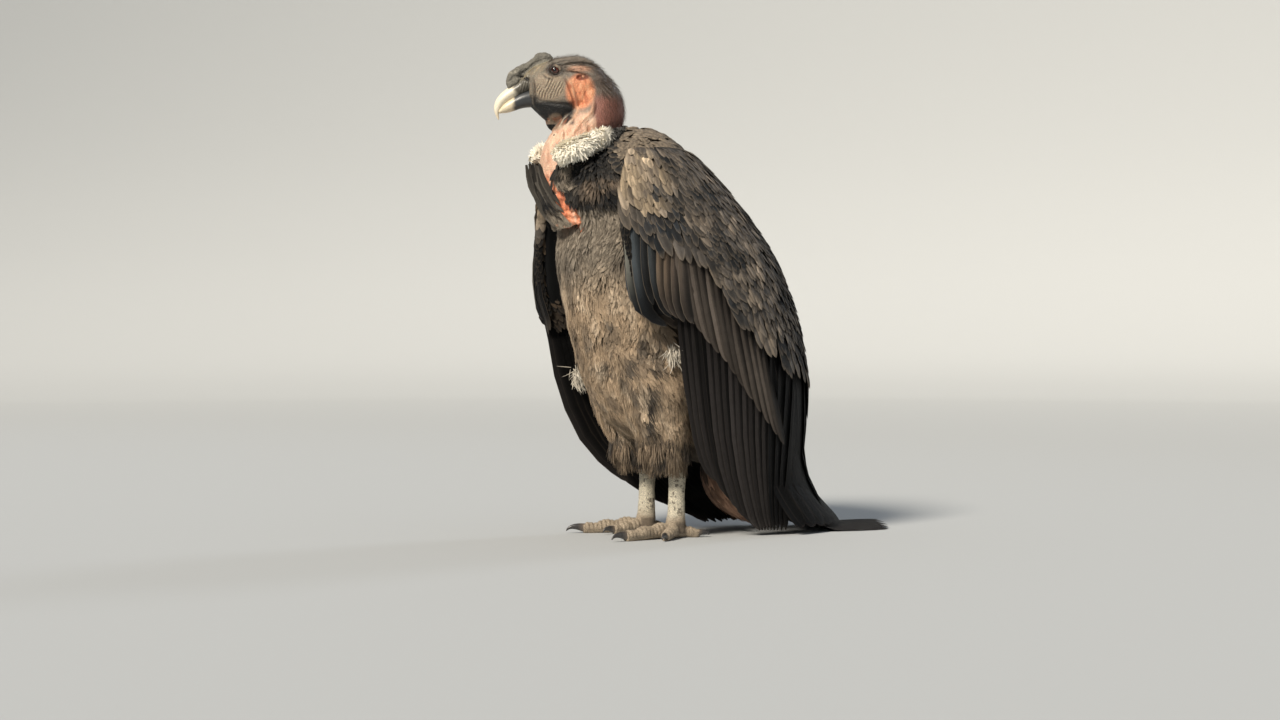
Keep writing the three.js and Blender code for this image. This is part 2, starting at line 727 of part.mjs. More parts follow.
// A claw arches from the end of its toe down to the floor.
function clawSolid(name, toe, grow = 0) {
  const aim = toeAim(name, toe);
  const start = v3(SIDES[name] * LEG_SPREAD, LEG_Y, 0).addScaledVector(aim, toe.length - 2 - grow);
  const base = toe.radius * 0.72;
  const count = 6;
  const stops = Array.from({ length: count }, (_, i) => {
    const t = i / (count - 1);
    const centre = start.clone().addScaledVector(aim, toe.claw * 0.86 * Math.sin(t * 1.35));
    centre.z = base + 4.5 * Math.sin(t * 2.6) - (base - 1.6) * t * t;
    const size = mix(base * 0.9, 0.8, t ** 0.9);
    return { centre, wide: size * 0.8 + grow, high: size + grow };
  });
  return sweep(stops, 8, v3(-aim.y, aim.x, 0)).trimByPlane([0, 0, 1], grow > 0 ? -1 : 0.3);
}

// Ruff

// The collar of down round the foot of the neck runs from the nape to an open throat, as x, y, z, radius.
const RUFF = [
  [0, -60, 668, 8],
  [34, -70, 665, 9.5],
  [55, -98, 656, 12],
  [61, -135, 642, 14.5],
  [58, -170, 628, 16],
  [47, -200, 617, 13],
];
const RUFF_MIDDLE = [0, -138, 642];
const RUFF_CLUMPS = 6; // on each side, in each row
const CLUMP_REACH = 1.5; // length of a clump as a multiple of the roll's radius

// A soft roll with flat tapered clumps that lean out and hang down.
function ruffSolid(cutters) {
  const half = (side) => RUFF.map(([x, y, z]) => v3(side * x, y, z));
  const curve = new THREE.CatmullRomCurve3([...half(-1).toReversed(), ...half(1).slice(1)]);
  const radii = RUFF.map((row) => row[3]);
  const rows = [...radii.toReversed(), ...radii.slice(1)].map((r, i, all) => [i / (all.length - 1), r]);
  const inside = v3(...RUFF_MIDDLE);
  const frame = (t) => {
    const along = curve.getTangent(t);
    const out = curve.getPoint(t).sub(inside);
    out.addScaledVector(along, -out.dot(along)).normalize();
    const up = along.clone().cross(out).multiplyScalar(-1);
    return { centre: curve.getPoint(t), along, out, up, radius: smoothRow(rows, t)[0] };
  };
  const count = 17;
  const roll = loft(
    Array.from({ length: count }, (_, i) => {
      const { centre, out, up, radius } = frame(i / (count - 1));
      const size = radius * (i === 0 || i === count - 1 ? 0.5 : 1);
      return ring(centre, out, up, size, size, size, 6);
    }),
  );
  const clumps = [];
  for (let row = 0; row < 2; row += 1) {
    const many = 2 * RUFF_CLUMPS + row;
    for (let i = 0; i < many; i += 1) {
      const { centre, along, out, up, radius } = frame((i + 0.5) / many);
      const lean = out.clone().addScaledVector(up, row ? -0.75 : -0.05).normalize();
      const length = radius * CLUMP_REACH + vary(2);
      const stops = [0, 0.55, 1].map((t) => ({
        centre: centre.clone().addScaledVector(lean, length * t).addScaledVector(up, -5 * t * t),
        wide: mix(17, 5, t ** 1.8),
        high: mix(6, 1.2, t),
      }));
      clumps.push(sweep(stops, 5, along));
    }
  }
  return cutters.reduce((solid, cutter) => solid.subtract(cutter), join([roll, ...clumps]));
}

// Assembly

const COLOURS = {
  plumage: { color: 0x4a4038, roughness: 0.85 },
  flight: { color: 0x17191c, roughness: 0.6 },
  down: { color: 0xd9cfbd, roughness: 1 },
  face: { color: 0x8a7560, roughness: 0.7 },
  neckSkin: { color: 0xc98a6c, roughness: 0.65 },
  comb: { color: 0x4e4b43, roughness: 0.8 },
  horn: { color: 0xd8cbb0, roughness: 0.45 },
  eye: { color: 0x2a1712, roughness: 0.1 },
  scale: { color: 0xb5aa90, roughness: 0.75 },
  claw: { color: 0x39383a, roughness: 0.4 },
};

const condor = new THREE.Group();

function addPart(name, solid, colour) {
  const kept = largest(solid);
  const mesh = kept.getMesh();
  const geometry = new THREE.BufferGeometry();
  geometry.setAttribute("position", new THREE.BufferAttribute(mesh.vertProperties, 3));
  geometry.setIndex(new THREE.BufferAttribute(mesh.triVerts, 1));
  geometry.computeVertexNormals();
  const part = new THREE.Mesh(geometry, new THREE.MeshStandardMaterial({ metalness: 0, ...colour }));
  part.name = name;
  condor.add(part);
}

const torsoGrown = torsoSolid(GAP);
const neckGrown = neckSolid(GAP);
const headGrown = headSolid(GAP);
const upperBill = billHalf(UPPER_BILL);
const upperBillGrown = billHalf(UPPER_BILL, GAP);
const lowerBill = billHalf(LOWER_BILL).subtract(upperBillGrown).subtract(headGrown);
const comb = combSolid().subtract(headGrown).subtract(upperBillGrown);

addPart("torso", torsoSolid(), COLOURS.plumage);
addPart("neck", neckSolid().subtract(torsoGrown).subtract(headGrown), COLOURS.neckSkin);
addPart("head", headSolid(), COLOURS.face);
addPart("bill_lower", lowerBill, COLOURS.horn);
addPart(
  "bill_upper",
  upperBill.subtract(headGrown).subtract(nostril(1)).subtract(nostril(-1)),
  COLOURS.horn,
);
addPart("comb", comb, COLOURS.comb);
addPart("wattle", wattleSolid().subtract(headGrown).subtract(neckGrown), COLOURS.neckSkin);
addPart("ruff", ruffSolid([neckGrown, torsoGrown]), COLOURS.down);
addPart("tail", tailSolid(torsoGrown), COLOURS.flight);
for (const [name, side] of Object.entries(SIDES)) {
  addPart(`eye_${name}`, eyeSolid(side), COLOURS.eye);
  addPart(`wing_${name}`, wingSolid(name, torsoGrown), COLOURS.plumage);
  addPart(`thigh_${name}`, thighSolid(name, torsoGrown), COLOURS.plumage);
  addPart(`tarsus_${name}`, tarsusSolid(name), COLOURS.scale);
  addPart(`foot_${name}`, footSolid(name), COLOURS.scale);
  for (const [toeName, toe] of Object.entries(TOES)) {
    addPart(`claw_${name}_${toeName}`, clawSolid(name, toe), COLOURS.claw);
  }
}

// The origin is on the floor, under the middle of the whole outline.
const outline = new THREE.Box3().setFromObject(condor);
condor.position.set(-(outline.min.x + outline.max.x) / 2, -(outline.min.y + outline.max.y) / 2, 0);

export default condor;
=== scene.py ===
"""Looks of a life-size Andean condor that stands upright with folded wings, as a still display model.

Tables are in millimetres in the body's own frame: +Z up, the bird faces -Y and its left side is +X.
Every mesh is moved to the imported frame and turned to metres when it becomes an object.
"""

import json
import logging
import math
from dataclasses import dataclass, field, replace
from enum import Enum
from typing import Callable

import bpy
import numpy as np
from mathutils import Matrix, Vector

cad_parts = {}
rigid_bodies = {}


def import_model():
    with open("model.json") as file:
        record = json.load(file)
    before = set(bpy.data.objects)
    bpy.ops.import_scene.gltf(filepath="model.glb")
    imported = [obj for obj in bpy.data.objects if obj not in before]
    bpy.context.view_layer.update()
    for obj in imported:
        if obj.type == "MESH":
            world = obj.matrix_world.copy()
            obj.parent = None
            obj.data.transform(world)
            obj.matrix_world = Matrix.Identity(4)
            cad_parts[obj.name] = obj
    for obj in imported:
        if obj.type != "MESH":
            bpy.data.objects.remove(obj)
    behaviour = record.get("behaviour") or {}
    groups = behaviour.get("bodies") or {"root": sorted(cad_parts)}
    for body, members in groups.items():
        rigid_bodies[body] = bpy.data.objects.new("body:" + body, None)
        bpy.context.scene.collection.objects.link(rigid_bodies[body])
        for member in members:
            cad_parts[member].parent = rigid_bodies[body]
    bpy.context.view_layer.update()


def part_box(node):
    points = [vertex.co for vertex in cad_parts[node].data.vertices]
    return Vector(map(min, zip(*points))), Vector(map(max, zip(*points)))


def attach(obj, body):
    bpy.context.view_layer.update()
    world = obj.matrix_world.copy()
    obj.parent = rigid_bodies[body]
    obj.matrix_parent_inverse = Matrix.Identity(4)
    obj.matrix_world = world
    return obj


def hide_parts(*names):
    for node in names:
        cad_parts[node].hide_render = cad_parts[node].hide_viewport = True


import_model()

LOG = logging.getLogger("condor")
MM = 0.001
BODY = "root"
Array = np.ndarray
Triple = tuple[float, float, float]
Rgb = Triple
Pair = tuple[float, float]
Piece = bpy.types.Object
Finish = bpy.types.Material
Socket = bpy.types.NodeSocket

# Driving sizes
EYE_HEIGHT = 758.0
EYE_OUT = 22.6
EYE_RADIUS = 8.2
HEAD_YAW = 0.32
LEG_SPREAD = 57.0
LEG_Y = 11.0
FOOT_HEIGHT = 24.0
FLOOR_CLEARANCE = 4.0
FLOOR_GAP = 0.3

# Torso sections from the vent up: height, centre y, half width, depth in front and depth behind
TORSO = [
    (106, 152, 12, 14, 14),
    (116, 142, 38, 46, 52),
    (136, 120, 62, 104, 88),
    (170, 90, 86, 145, 128),
    (223, 60, 108, 166, 162),
    (305, 30, 126, 166, 184),
    (388, 5, 137, 161, 186),
    (454, -15, 141, 150, 176),
    (496, -27, 142, 135, 166),
    (522, -31, 144, 133, 156),
    (550, -36, 150, 140, 141),
    (582, -42, 140, 132, 120),
    (612, -46, 121, 107, 96),
    (640, -48, 92, 68, 70),
    (660, -50, 54, 36, 42),
    (668, -50, 14, 12, 12),
]
# Wing surface from the tips up: height, y of the widest point, half width, depth behind it, edge x and y
WING_LEFT = [
    (8, 205, 92, 128, 88, 150),
    (61, 165, 110, 128, 104, 92),
    (117, 125, 127, 138, 119, 32),
    (173, 105, 141, 160, 131, 12),
    (256, 75, 156, 190, 146, -10),
    (320, 47, 166, 206, 150, -34),
    (346, 35, 170, 211, 150, -50),
    (372, 25, 173, 212, 146, -94),
    (396, 15, 175, 212, 147, -111),
    (454, -5, 177, 203, 148, -121),
    (511, -25, 174, 179, 146, -128),
    (569, -40, 163, 140, 140, -126),
    (610, -45, 141, 100, 122, -108),
    (640, -46, 108, 66, 90, -80),
]
WING_RIGHT = [
    (8, 205, 96, 128, 92, 112),
    (61, 160, 122, 133, 116, 28),
    (117, 118, 142, 145, 136, -36),
    (173, 90, 156, 175, 150, -76),
    (256, 60, 170, 205, 163, -105),
    (346, 28, 182, 218, 172, -122),
    (396, 12, 186, 215, 175, -138),
    (454, -5, 186, 203, 174, -144),
    (511, -25, 181, 179, 167, -144),
    (569, -40, 165, 140, 150, -137),
    (610, -45, 141, 100, 122, -108),
    (640, -46, 108, 66, 90, -80),
]
# The back edge of the folded wing: height, then place round the wing
BACK_EDGE = [(0, 0.97), (400, 0.97), (450, 0.93), (540, 0.76), (600, 0.62), (640, 0.55)]
# Neck from inside the chest to inside the head: x, y, z, half width, half depth
NECK = [
    (0, -128, 520, 52, 52),
    (0, -146, 565, 48, 50),
    (0, -158, 611, 42, 43),
    (0, -138, 645, 42, 44),
    (0, -110, 677, 43, 45),
    (-1, -106, 707, 41, 43),
    (-3, -122, 733, 34, 35),
    (-11, -149, 745, 24, 24),
]
# Head sections from the nape forward, from the eye: forward, centre height, up, down, half width
HEAD = [
    (-88, -22, 6, 8, 8),
    (-80, -20, 20, 24, 24),
    (-64, -18, 33, 38, 33),
    (-44, -16, 40, 52, 35.5),
    (-22, -16, 40, 67, 34),
    (0, -16, 36, 71, 29),
    (18, -18, 32, 58, 24.5),
    (32, -20, 27, 43, 20),
    (41, -22, 22, 33, 17),
]
# Comb sections, from the eye: forward, centre height, half height, half width
COMB = [
    (2, 19, 5, 4),
    (7, 19, 10, 7.5),
    (14, 19, 12.5, 9.5),
    (24, 16, 13.5, 9.5),
    (33, 11, 13.5, 8),
    (42, 4, 13, 8),
    (50, -3, 14.5, 9.5),
    (60, -9, 16.5, 11),
    (68, -13, 16, 11),
    (74, -18, 13, 9),
    (77.5, -17, 5, 4),
]
# Bill paths, from the eye: forward, height, half height across the path, half width
UPPER_BILL = [
    (34, -15, 18, 15.5),
    (46, -21, 14, 13.6),
    (58, -28.5, 11.5, 12),
    (70, -35.5, 10, 10.6),
    (81, -43.5, 9, 8.8),
    (88, -51.5, 7.8, 7),
    (92, -60.5, 5.8, 5),
    (92.5, -69, 3.2, 3.2),
    (90, -78.5, 1, 1),
]
LOWER_BILL = [
    (34, -43, 15, 14),
    (47, -45.5, 13.5, 12.8),
    (59, -50, 11.5, 11.4),
    (70, -55.5, 10, 9.8),
    (80, -61, 7.4, 8),
    (89.5, -66.5, 2.4, 3.2),
]
WATTLE = [(8, -72, 8, 9), (3, -81, 11, 10), (-3, -88, 11, 9), (-7, -94, 8, 7), (-9, -100, 4, 4)]
# Thigh sections: height, y, half width, half depth
THIGH = [
    (118, 0, 22, 26),
    (134, -6, 33, 36),
    (164, -14, 45, 46),
    (205, -24, 54, 56),
    (255, -36, 56, 63),
    (300, -50, 46, 66),
    (330, -60, 26, 48),
]
# Tarsus sections: height, y from the leg's line, half width, half depth
TARSUS = [
    (FOOT_HEIGHT, -1, 15.5, 16.5),
    (40, 0, 13.6, 14.6),
    (80, 1, 12.6, 13.6),
    (118, 3, 14, 15.5),
    (146, 5, 15.5, 17),
    (170, 7, 17, 19),
]
# The collar's roll from the nape to the open throat: x, y, z, radius
RUFF = [
    (0, -60, 668, 8),
    (34, -70, 665, 9.5),
    (55, -98, 656, 12),
    (61, -135, 642, 14.5),
    (58, -170, 628, 16),
    (47, -200, 617, 13),
]


class Side(Enum):
    """The two sides of the bird, as the sign of x."""

    LEFT = 1
    RIGHT = -1

    @property
    def label(self) -> str:
        """The side's word in the names of nodes."""
        return self.name.lower()


# Shared helpers


def linear(rgb: Rgb | Enum) -> Array:
    """Turns a screen colour of 0 to 255, or a named one, into linear light of 0 to 1."""
    c = np.asarray(rgb.value if isinstance(rgb, Enum) else rgb, float) / 255.0
    return np.where(c <= 0.04045, c / 12.92, ((c + 0.055) / 1.055) ** 2.4)


def rgba(rgb: Rgb) -> tuple[float, float, float, float]:
    """The colour of `linear` with full cover, for a shader socket."""
    return (*(float(v) for v in linear(rgb)), 1.0)


def unit(v: Array) -> Array:
    """The vectors of the last axis, each of length one."""
    return v / np.maximum(np.linalg.norm(v, axis=-1, keepdims=True), 1e-9)


def smoothstep(x: Array, low: float, high: float) -> Array:
    """A soft step from 0 at `low` to 1 at `high`, which may be the smaller one."""
    t = np.clip((np.asarray(x, float) - low) / (high - low), 0, 1)
    return t * t * (3 - 2 * t)


def mix(a: Array, b: Array, t: Array) -> Array:
    """The value between `a` at 0 and `b` at 1."""
    return a + (b - a) * t


def lay(tone: Array, rgb: Rgb | Enum, weight: Array) -> Array:
    """Linear colours with a screen colour laid over them, by a weight for each point."""
    return mix(tone, linear(rgb), np.clip(weight, 0, 1)[..., None])


def run_along(points: Array) -> Array:
    """How far each point of a path lies from its start."""
    return np.concatenate([[0], np.cumsum(np.linalg.norm(np.diff(points, axis=0), axis=1))])


class SmoothTable:
    """Rows of numbers with a smooth curve through every row."""

    def __init__(self, rows: list[tuple[float, ...]]) -> None:
        """Args:
        rows: The first column rises, and the others are values at it.
        """
        table = np.asarray(rows, float)
        self.x, self.y = table[:, 0], table[:, 1:]
        ahead = np.minimum(np.arange(len(table)) + 1, len(table) - 1)
        behind = np.maximum(np.arange(len(table)) - 1, 0)
        self.slope = (self.y[ahead] - self.y[behind]) / (self.x[ahead] - self.x[behind])[:, None]

    def __call__(self, x: Array) -> Array:
        """The values at x, with one more axis for the columns."""
        at = np.clip(np.asarray(x, float), self.x[0], self.x[-1])
        i = np.clip(np.searchsorted(self.x, at, side="right") - 1, 0, len(self.x) - 2)
        h = (self.x[i + 1] - self.x[i])[..., None]
        t = (at - self.x[i])[..., None] / h
        t2, t3 = t * t, t**3
        ends = (2 * t3 - 3 * t2 + 1) * self.y[i] + (3 * t2 - 2 * t3) * self.y[i + 1]
        return ends + h * ((t3 - 2 * t2 + t) * self.slope[i] + (t3 - t2) * self.slope[i + 1])


def path_table(rows: list[tuple[float, ...]]) -> SmoothTable:
    """A table of the rows at even steps from 0 to 1."""
    return SmoothTable([(i / (len(rows) - 1), *row) for i, row in enumerate(rows)])


class Noise:
    """Smooth noise of -1 to 1 in space, the same on each run."""

    CELLS = 32

    def __init__(self, seed: int) -> None:
        """Args:
        seed: Which noise it is.
        """
        self.grid = np.random.default_rng(seed).random((self.CELLS,) * 3)

    def __call__(self, points: Array, size: float | Triple) -> Array:
        """The noise at the points.

        Args:
            points: Places in millimetres.
            size: The grain in millimetres, or one for each axis.

        Returns:
            One value for each point.
        """
        q = np.asarray(points, float) / np.asarray(size, float)
        low = np.floor(q).astype(int)
        f = q - low
        f = f * f * (3 - 2 * f)
        total = np.zeros(q.shape[:-1])
        for corner in range(8):
            bit = np.array([corner & 1, corner >> 1 & 1, corner >> 2 & 1])
            cell = (low + bit) % self.CELLS
            share = np.prod(np.where(bit == 1, f, 1 - f), axis=-1)
            total += share * self.grid[cell[..., 0], cell[..., 1], cell[..., 2]]
        return 2 * total - 1

    def layers(self, points: Array, size: float, count: int = 3) -> Array:
        """Noise of several grains, each half as large and half as strong as the one before."""
        parts = [self(points + 37.0 * i, size / 2**i) / 2**i for i in range(count)]
        return sum(parts) / (2 - 2 / 2**count)


NOISE = Noise(5)
MOTTLE = Noise(11)


# Head frame

HEAD_ORIGIN = np.array([-18.5, -173.0, EYE_HEIGHT])
HEAD_FORWARD = np.array([-math.sin(HEAD_YAW), -math.cos(HEAD_YAW), 0.0])
HEAD_LEFT = np.array([math.cos(HEAD_YAW), -math.sin(HEAD_YAW), 0.0])
UP = np.array([0.0, 0.0, 1.0])


def head_point(forward: Array, out: Array, up: Array) -> Array:
    """Places of the head frame: forward, to the bird's left and up from the middle of the eyes."""
    forward, out, up = (np.asarray(v, float)[..., None] for v in (forward, out, up))
    return HEAD_ORIGIN + forward * HEAD_FORWARD + out * HEAD_LEFT + up * UP


def head_places(points: Array) -> tuple[Array, Array, Array]:
    """Forward, out and up of points in the head frame."""
    away = points - HEAD_ORIGIN
    return away @ HEAD_FORWARD, away @ HEAD_LEFT, away[..., 2]


def frame_shift() -> Array:
    """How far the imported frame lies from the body's own frame, in millimetres."""
    low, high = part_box("eye_left")
    middle = (np.array(low) + np.array(high)) / 2 / MM
    return middle - head_point(0, EYE_OUT, 0)


SHIFT = frame_shift() * np.array([1.0, 1.0, 0.0])


# The view from the bird's left and front, in which markings and feather lines were laid out

VIEW_TURN = math.radians(65.0)
VIEW_DISTANCE = 4000.0
VIEW_RIGHT = -25.0
VIEW_HEIGHT = 289.0
ACROSS = np.array([math.cos(VIEW_TURN), math.sin(VIEW_TURN), 0.0])
SIGHT = np.array([math.sin(VIEW_TURN), -math.cos(VIEW_TURN), 0.0])


def seen(points: Array) -> tuple[Array, Array]:
    """Where points appear in the view.

    Args:
        points: Places in millimetres.

    Returns:
        Millimetres to the right of the body's middle and above the floor, at the distance of the middle.
    """
    x, y, z = np.moveaxis(points, -1, 0)
    right = x * math.cos(VIEW_TURN) + y * math.sin(VIEW_TURN)
    near = x * math.sin(VIEW_TURN) - y * math.cos(VIEW_TURN)
    grow = VIEW_DISTANCE / (VIEW_DISTANCE - near)
    return VIEW_RIGHT + (right - VIEW_RIGHT) * grow, VIEW_HEIGHT + (z - VIEW_HEIGHT + 0.0175 * near) * grow


def oval(
    x: Array, y: Array, centre: Pair, reach: Pair, turn: float = 0.0, rim: Pair = (1.25, 0.65)
) -> Array:
    """A soft oval weight of 0 to 1.

    Args:
        x: Places along the first direction, such as right in the view.
        y: Places along the second one.
        centre: The oval's middle.
        reach: Its half sizes.
        turn: How far it is turned, in radians.
        rim: Shares of the half sizes between which the weight rises from 0 to 1.

    Returns:
        The weights.
    """
    x, y = x - centre[0], y - centre[1]
    a = (x * math.cos(turn) + y * math.sin(turn)) / reach[0]
    b = (y * math.cos(turn) - x * math.sin(turn)) / reach[1]
    return smoothstep(np.hypot(a, b), *rim)


# Meshes


def select_only(obj: Piece) -> None:
    """Makes one object the only selected and the active one."""
    bpy.ops.object.select_all(action="DESELECT")
    obj.select_set(True)
    bpy.context.view_layer.objects.active = obj


def apply_modifier(obj: Piece, kind: str, **settings: object) -> None:
    """Adds a modifier with its settings and applies it.

    Args:
        obj: The mesh object.
        kind: The modifier's type.
        settings: Values of the modifier by name.
    """
    select_only(obj)
    modifier = obj.modifiers.new(kind.title(), kind)
    for key, value in settings.items():
        setattr(modifier, key, value)
    bpy.ops.object.modifier_apply(modifier=modifier.name)


def mesh_points(obj: Piece) -> Array:
    """The vertices of a finished object, in millimetres of the body's own frame."""
    co = np.empty(len(obj.data.vertices) * 3)
    obj.data.vertices.foreach_get("co", co)
    return co.reshape(-1, 3) / MM - SHIFT


def set_points(obj: Piece, points: Array) -> None:
    """Puts the vertices at points of the body's own frame, in millimetres."""
    obj.data.vertices.foreach_set("co", ((points + SHIFT) * MM).ravel())
    obj.data.update()


def mesh_normals(obj: Piece) -> Array:
    """The normals of an object's vertices."""
    normals = np.empty(len(obj.data.vertices) * 3)
    obj.data.vertices.foreach_get("normal", normals)
    return normals.reshape(-1, 3)


def push_out(obj: Piece, rise: Array) -> None:
    """Moves an object's vertices out along their normals, in millimetres."""
    set_points(obj, mesh_points(obj) + mesh_normals(obj) * rise[:, None])


def new_object(name: str, points: Array, loops: Array, sizes: Array) -> Piece:
    """A mesh object from arrays.

    Args:
        name: The object's name.
        points: Vertices in millimetres of the body's own frame.
        loops: Vertex numbers of all faces, one face after another.
        sizes: How many corners each face has.

    Returns:
        The new object, linked to the scene.
    """
    mesh = bpy.data.meshes.new(name)
    mesh.vertices.add(len(points))
    mesh.vertices.foreach_set("co", ((points + SHIFT) * MM).ravel())
    mesh.loops.add(len(loops))
    mesh.loops.foreach_set("vertex_index", loops.astype(np.int32))
    mesh.polygons.add(len(sizes))
    starts = np.concatenate([[0], np.cumsum(sizes)[:-1]]).astype(np.int32)
    mesh.polygons.foreach_set("loop_start", starts)
    mesh.update(calc_edges=True)
    mesh.validate()
    obj = bpy.data.objects.new(name, mesh)
    bpy.context.scene.collection.objects.link(obj)
    return obj


def turn_faces_out(obj: Piece) -> None:
    """Makes all faces of a closed mesh point outwards."""
    select_only(obj)
    bpy.ops.object.mode_set(mode="EDIT")
    bpy.ops.mesh.select_all(action="SELECT")
    bpy.ops.mesh.normals_make_consistent(inside=False)
    bpy.ops.object.mode_set(mode="OBJECT")


def loft(name: str, rings: Array) -> Piece:
    """A closed shape through rings of points, with a pole at each end.

    Args:
        name: The object's name.
        rings: Points by ring and place in the ring.

    Returns:
        The new object, with its faces turned out.
    """
    count, around = rings.shape[:2]
    points = np.concatenate([rings.reshape(-1, 3), rings[:1].mean(1), rings[-1:].mean(1)])
    i, k = np.meshgrid(np.arange(count - 1), np.arange(around), indexing="ij")
    nxt = (k + 1) % around
    quads = np.stack([i * around + k, i * around + nxt, (i + 1) * around + nxt, (i + 1) * around + k], -1)
    k = np.arange(around)
    nxt = (k + 1) % around
    last = (count - 1) * around
    start = np.stack([np.full(around, count * around), nxt, k], -1)
    end = np.stack([np.full(around, count * around + 1), last + k, last + nxt], -1)
    loops = np.concatenate([quads.ravel(), start.ravel(), end.ravel()])
    sizes = np.concatenate([np.full(quads.size // 4, 4), np.full(2 * around, 3)])
    obj = new_object(name, points, loops, sizes)
    turn_faces_out(obj)
    return obj


def ovals(centres: Array, side: Array, up: Array, wide: Array, high: Array, low: Array, count: int) -> Array:
    """Rings of points round centres, with their own heights above and below."""
    angle = np.arange(count) / count * 2 * math.pi
    rise = np.sin(angle)
    reach = np.where(rise > 0, np.asarray(high)[:, None], np.asarray(low)[:, None]) * rise
    across = np.asarray(wide)[:, None] * np.cos(angle)
    return centres[:, None] + across[..., None] * side[:, None] + reach[..., None] * up[:, None]


def sweep_rings(centres: Array, wide: Array, high: Array, side: Array, count: int) -> Array:
    """Rings square to a path.

    Args:
        centres: The path's points.
        wide: Half widths along `side`.
        high: Half heights square to it.
        side: The direction that the width keeps to.
        count: Points in a ring.

    Returns:
        The rings' points.
    """
    along = unit(np.gradient(centres, axis=0))
    across = unit(side - (along @ side)[:, None] * along)
    up = np.cross(across, along)
    return ovals(centres, across, up, wide, high, high, count)


def join_objects(name: str, objects: list[Piece]) -> Piece:
    """Joins objects into the first one.

    Args:
        name: The joined object's name.
        objects: What is joined.

    Returns:
        The joined object.
    """
    select_only(objects[0])
    for obj in objects:
        obj.select_set(True)
    bpy.ops.object.join()
    objects[0].name = name
    return objects[0]


def set_tones(obj: Piece, tones: Array) -> None:
    """Stores a linear colour for each vertex as the attribute Tone."""
    layer = obj.data.attributes.new("Tone", "FLOAT_COLOR", "POINT")
    layer.data.foreach_set("color", np.column_stack([tones, np.ones(len(tones))]).ravel())


def smooth_by_angle(obj: Piece, degrees: float) -> None:
    """Shades an object smooth, with edges past the angle left sharp."""
    obj.data.polygons.foreach_set("use_smooth", np.ones(len(obj.data.polygons), bool))
    obj.data.set_sharp_from_angle(angle=math.radians(degrees))
    obj.data.update()


def paint_piece(obj: Piece, tones: Array, degrees: float = 60.0) -> Piece:
    """Gives an object its tones, one for each vertex or one for all, and smooth shading.

    Args:
        obj: The mesh object.
        tones: Linear colours.
        degrees: The angle past which an edge stays sharp.

    Returns:
        The same object.
    """
    set_tones(obj, np.broadcast_to(tones, (len(obj.data.vertices), 3)))
    smooth_by_angle(obj, degrees)
    return obj


def fuse(name: str, parts: list[Piece], voxel: float, passes: int) -> Piece:
    """Joins closed shapes into one skin.

    Args:
        name: The skin's name.
        parts: The shapes, which overlap.
        voxel: The grain of the remesh in millimetres.
        passes: How often the result is smoothed.

    Returns:
        The skin.
    """
    obj = join_objects(name, parts)
    apply_modifier(obj, "REMESH", mode="VOXEL", voxel_size=voxel * MM, adaptivity=0.0)
    apply_modifier(obj, "SMOOTH", factor=0.5, iterations=passes)
    return obj


def finish_piece(obj: Piece, material: Finish, slot: str, *nodes: str) -> None:
    """Gives a piece its material, its body and what it stands for.

    Args:
        obj: The piece.
        material: Its finish.
        slot: The record's material slot; not used.
        nodes: The nodes that it replaces.
    """
    obj.data.materials.clear()
    obj.data.materials.append(material)
    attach(obj, BODY)
    if nodes:
        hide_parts(*nodes)
    triangles = sum(len(p.vertices) - 2 for p in obj.data.polygons)
    LOG.info("%s: %d triangles", obj.name, triangles)


# Surfaces that feathers lie on


class Surface:
    """A surface with two parameters, a across the lie of the coat and b along it."""

    STEP_A = 0.01
    STEP_B = 2.0

    def point(self, a: Array, b: Array) -> Array:
        """Places on the surface."""
        raise NotImplementedError

    def normal(self, a: Array, b: Array) -> Array:
        """The outward normals, from small steps along both parameters."""
        da = self.point(a + self.STEP_A, b) - self.point(a - self.STEP_A, b)
        db = self.point(a, b + self.STEP_B) - self.point(a, b - self.STEP_B)
        return unit(np.cross(da, db))

    def patch(self, a: Array, b: Array) -> Array:
        """Places on the flat unwrap of the surface, from 0 to 1."""
        raise NotImplementedError


class RoundSurface(Surface):
    """A surface of rings: a is the angle round it, and b the length along it from the top down."""

    def __init__(self, top: float, bottom: float) -> None:
        """Args:
        top: The first parameter of the rings, at length 0.
        bottom: The last one.
        """
        self.levels = np.linspace(top, bottom, 240)
        self.length = np.zeros_like(self.levels)
        ring = self.ring(np.zeros_like(self.levels) + 0.6, self.levels)
        other = self.ring(np.zeros_like(self.levels) - 2.0, self.levels)
        run = np.linalg.norm(np.diff(ring, axis=0), axis=1) + np.linalg.norm(np.diff(other, axis=0), axis=1)
        self.length[1:] = np.cumsum(run / 2)

    def ring(self, angle: Array, level: Array) -> Array:
        """Places on the rings."""
        raise NotImplementedError

    def level(self, b: Array) -> Array:
        """The rings' parameter at a length."""
        return np.interp(b, self.length, self.levels)

    def point(self, a: Array, b: Array) -> Array:
        """Places on the surface."""
        return self.ring(a, self.level(b))

    def normal(self, a: Array, b: Array) -> Array:
        """The outward normals."""
        da = self.point(a + self.STEP_A, b) - self.point(a - self.STEP_A, b)
        db = self.point(a, b + self.STEP_B) - self.point(a, b - self.STEP_B)
        return -unit(np.cross(da, db))

    def patch(self, a: Array, b: Array) -> Array:
        """Places on the flat unwrap of the surface."""
        turn = np.mod(a / (2 * math.pi) + 0.25, 1.0)
        return np.stack([turn, np.clip(b / self.length[-1], 0, 1)], -1)


class TorsoSurface(RoundSurface):
    """The outside of the torso's plumage."""

    def __init__(self) -> None:
        """Reads the torso's sections."""
        self.table = SmoothTable(TORSO)
        super().__init__(TORSO[-1][0] - 0.5, TORSO[0][0] + 0.5)

    def ring(self, angle: Array, level: Array) -> Array:
        """Places round the torso at heights."""
        y, wide, front, back = np.moveaxis(self.table(level), -1, 0)
        deep = np.where(np.sin(angle) < 0, front, back)
        level = np.broadcast_to(level, np.shape(angle))
        return np.stack([wide * np.cos(angle), y + deep * np.sin(angle), level], -1)


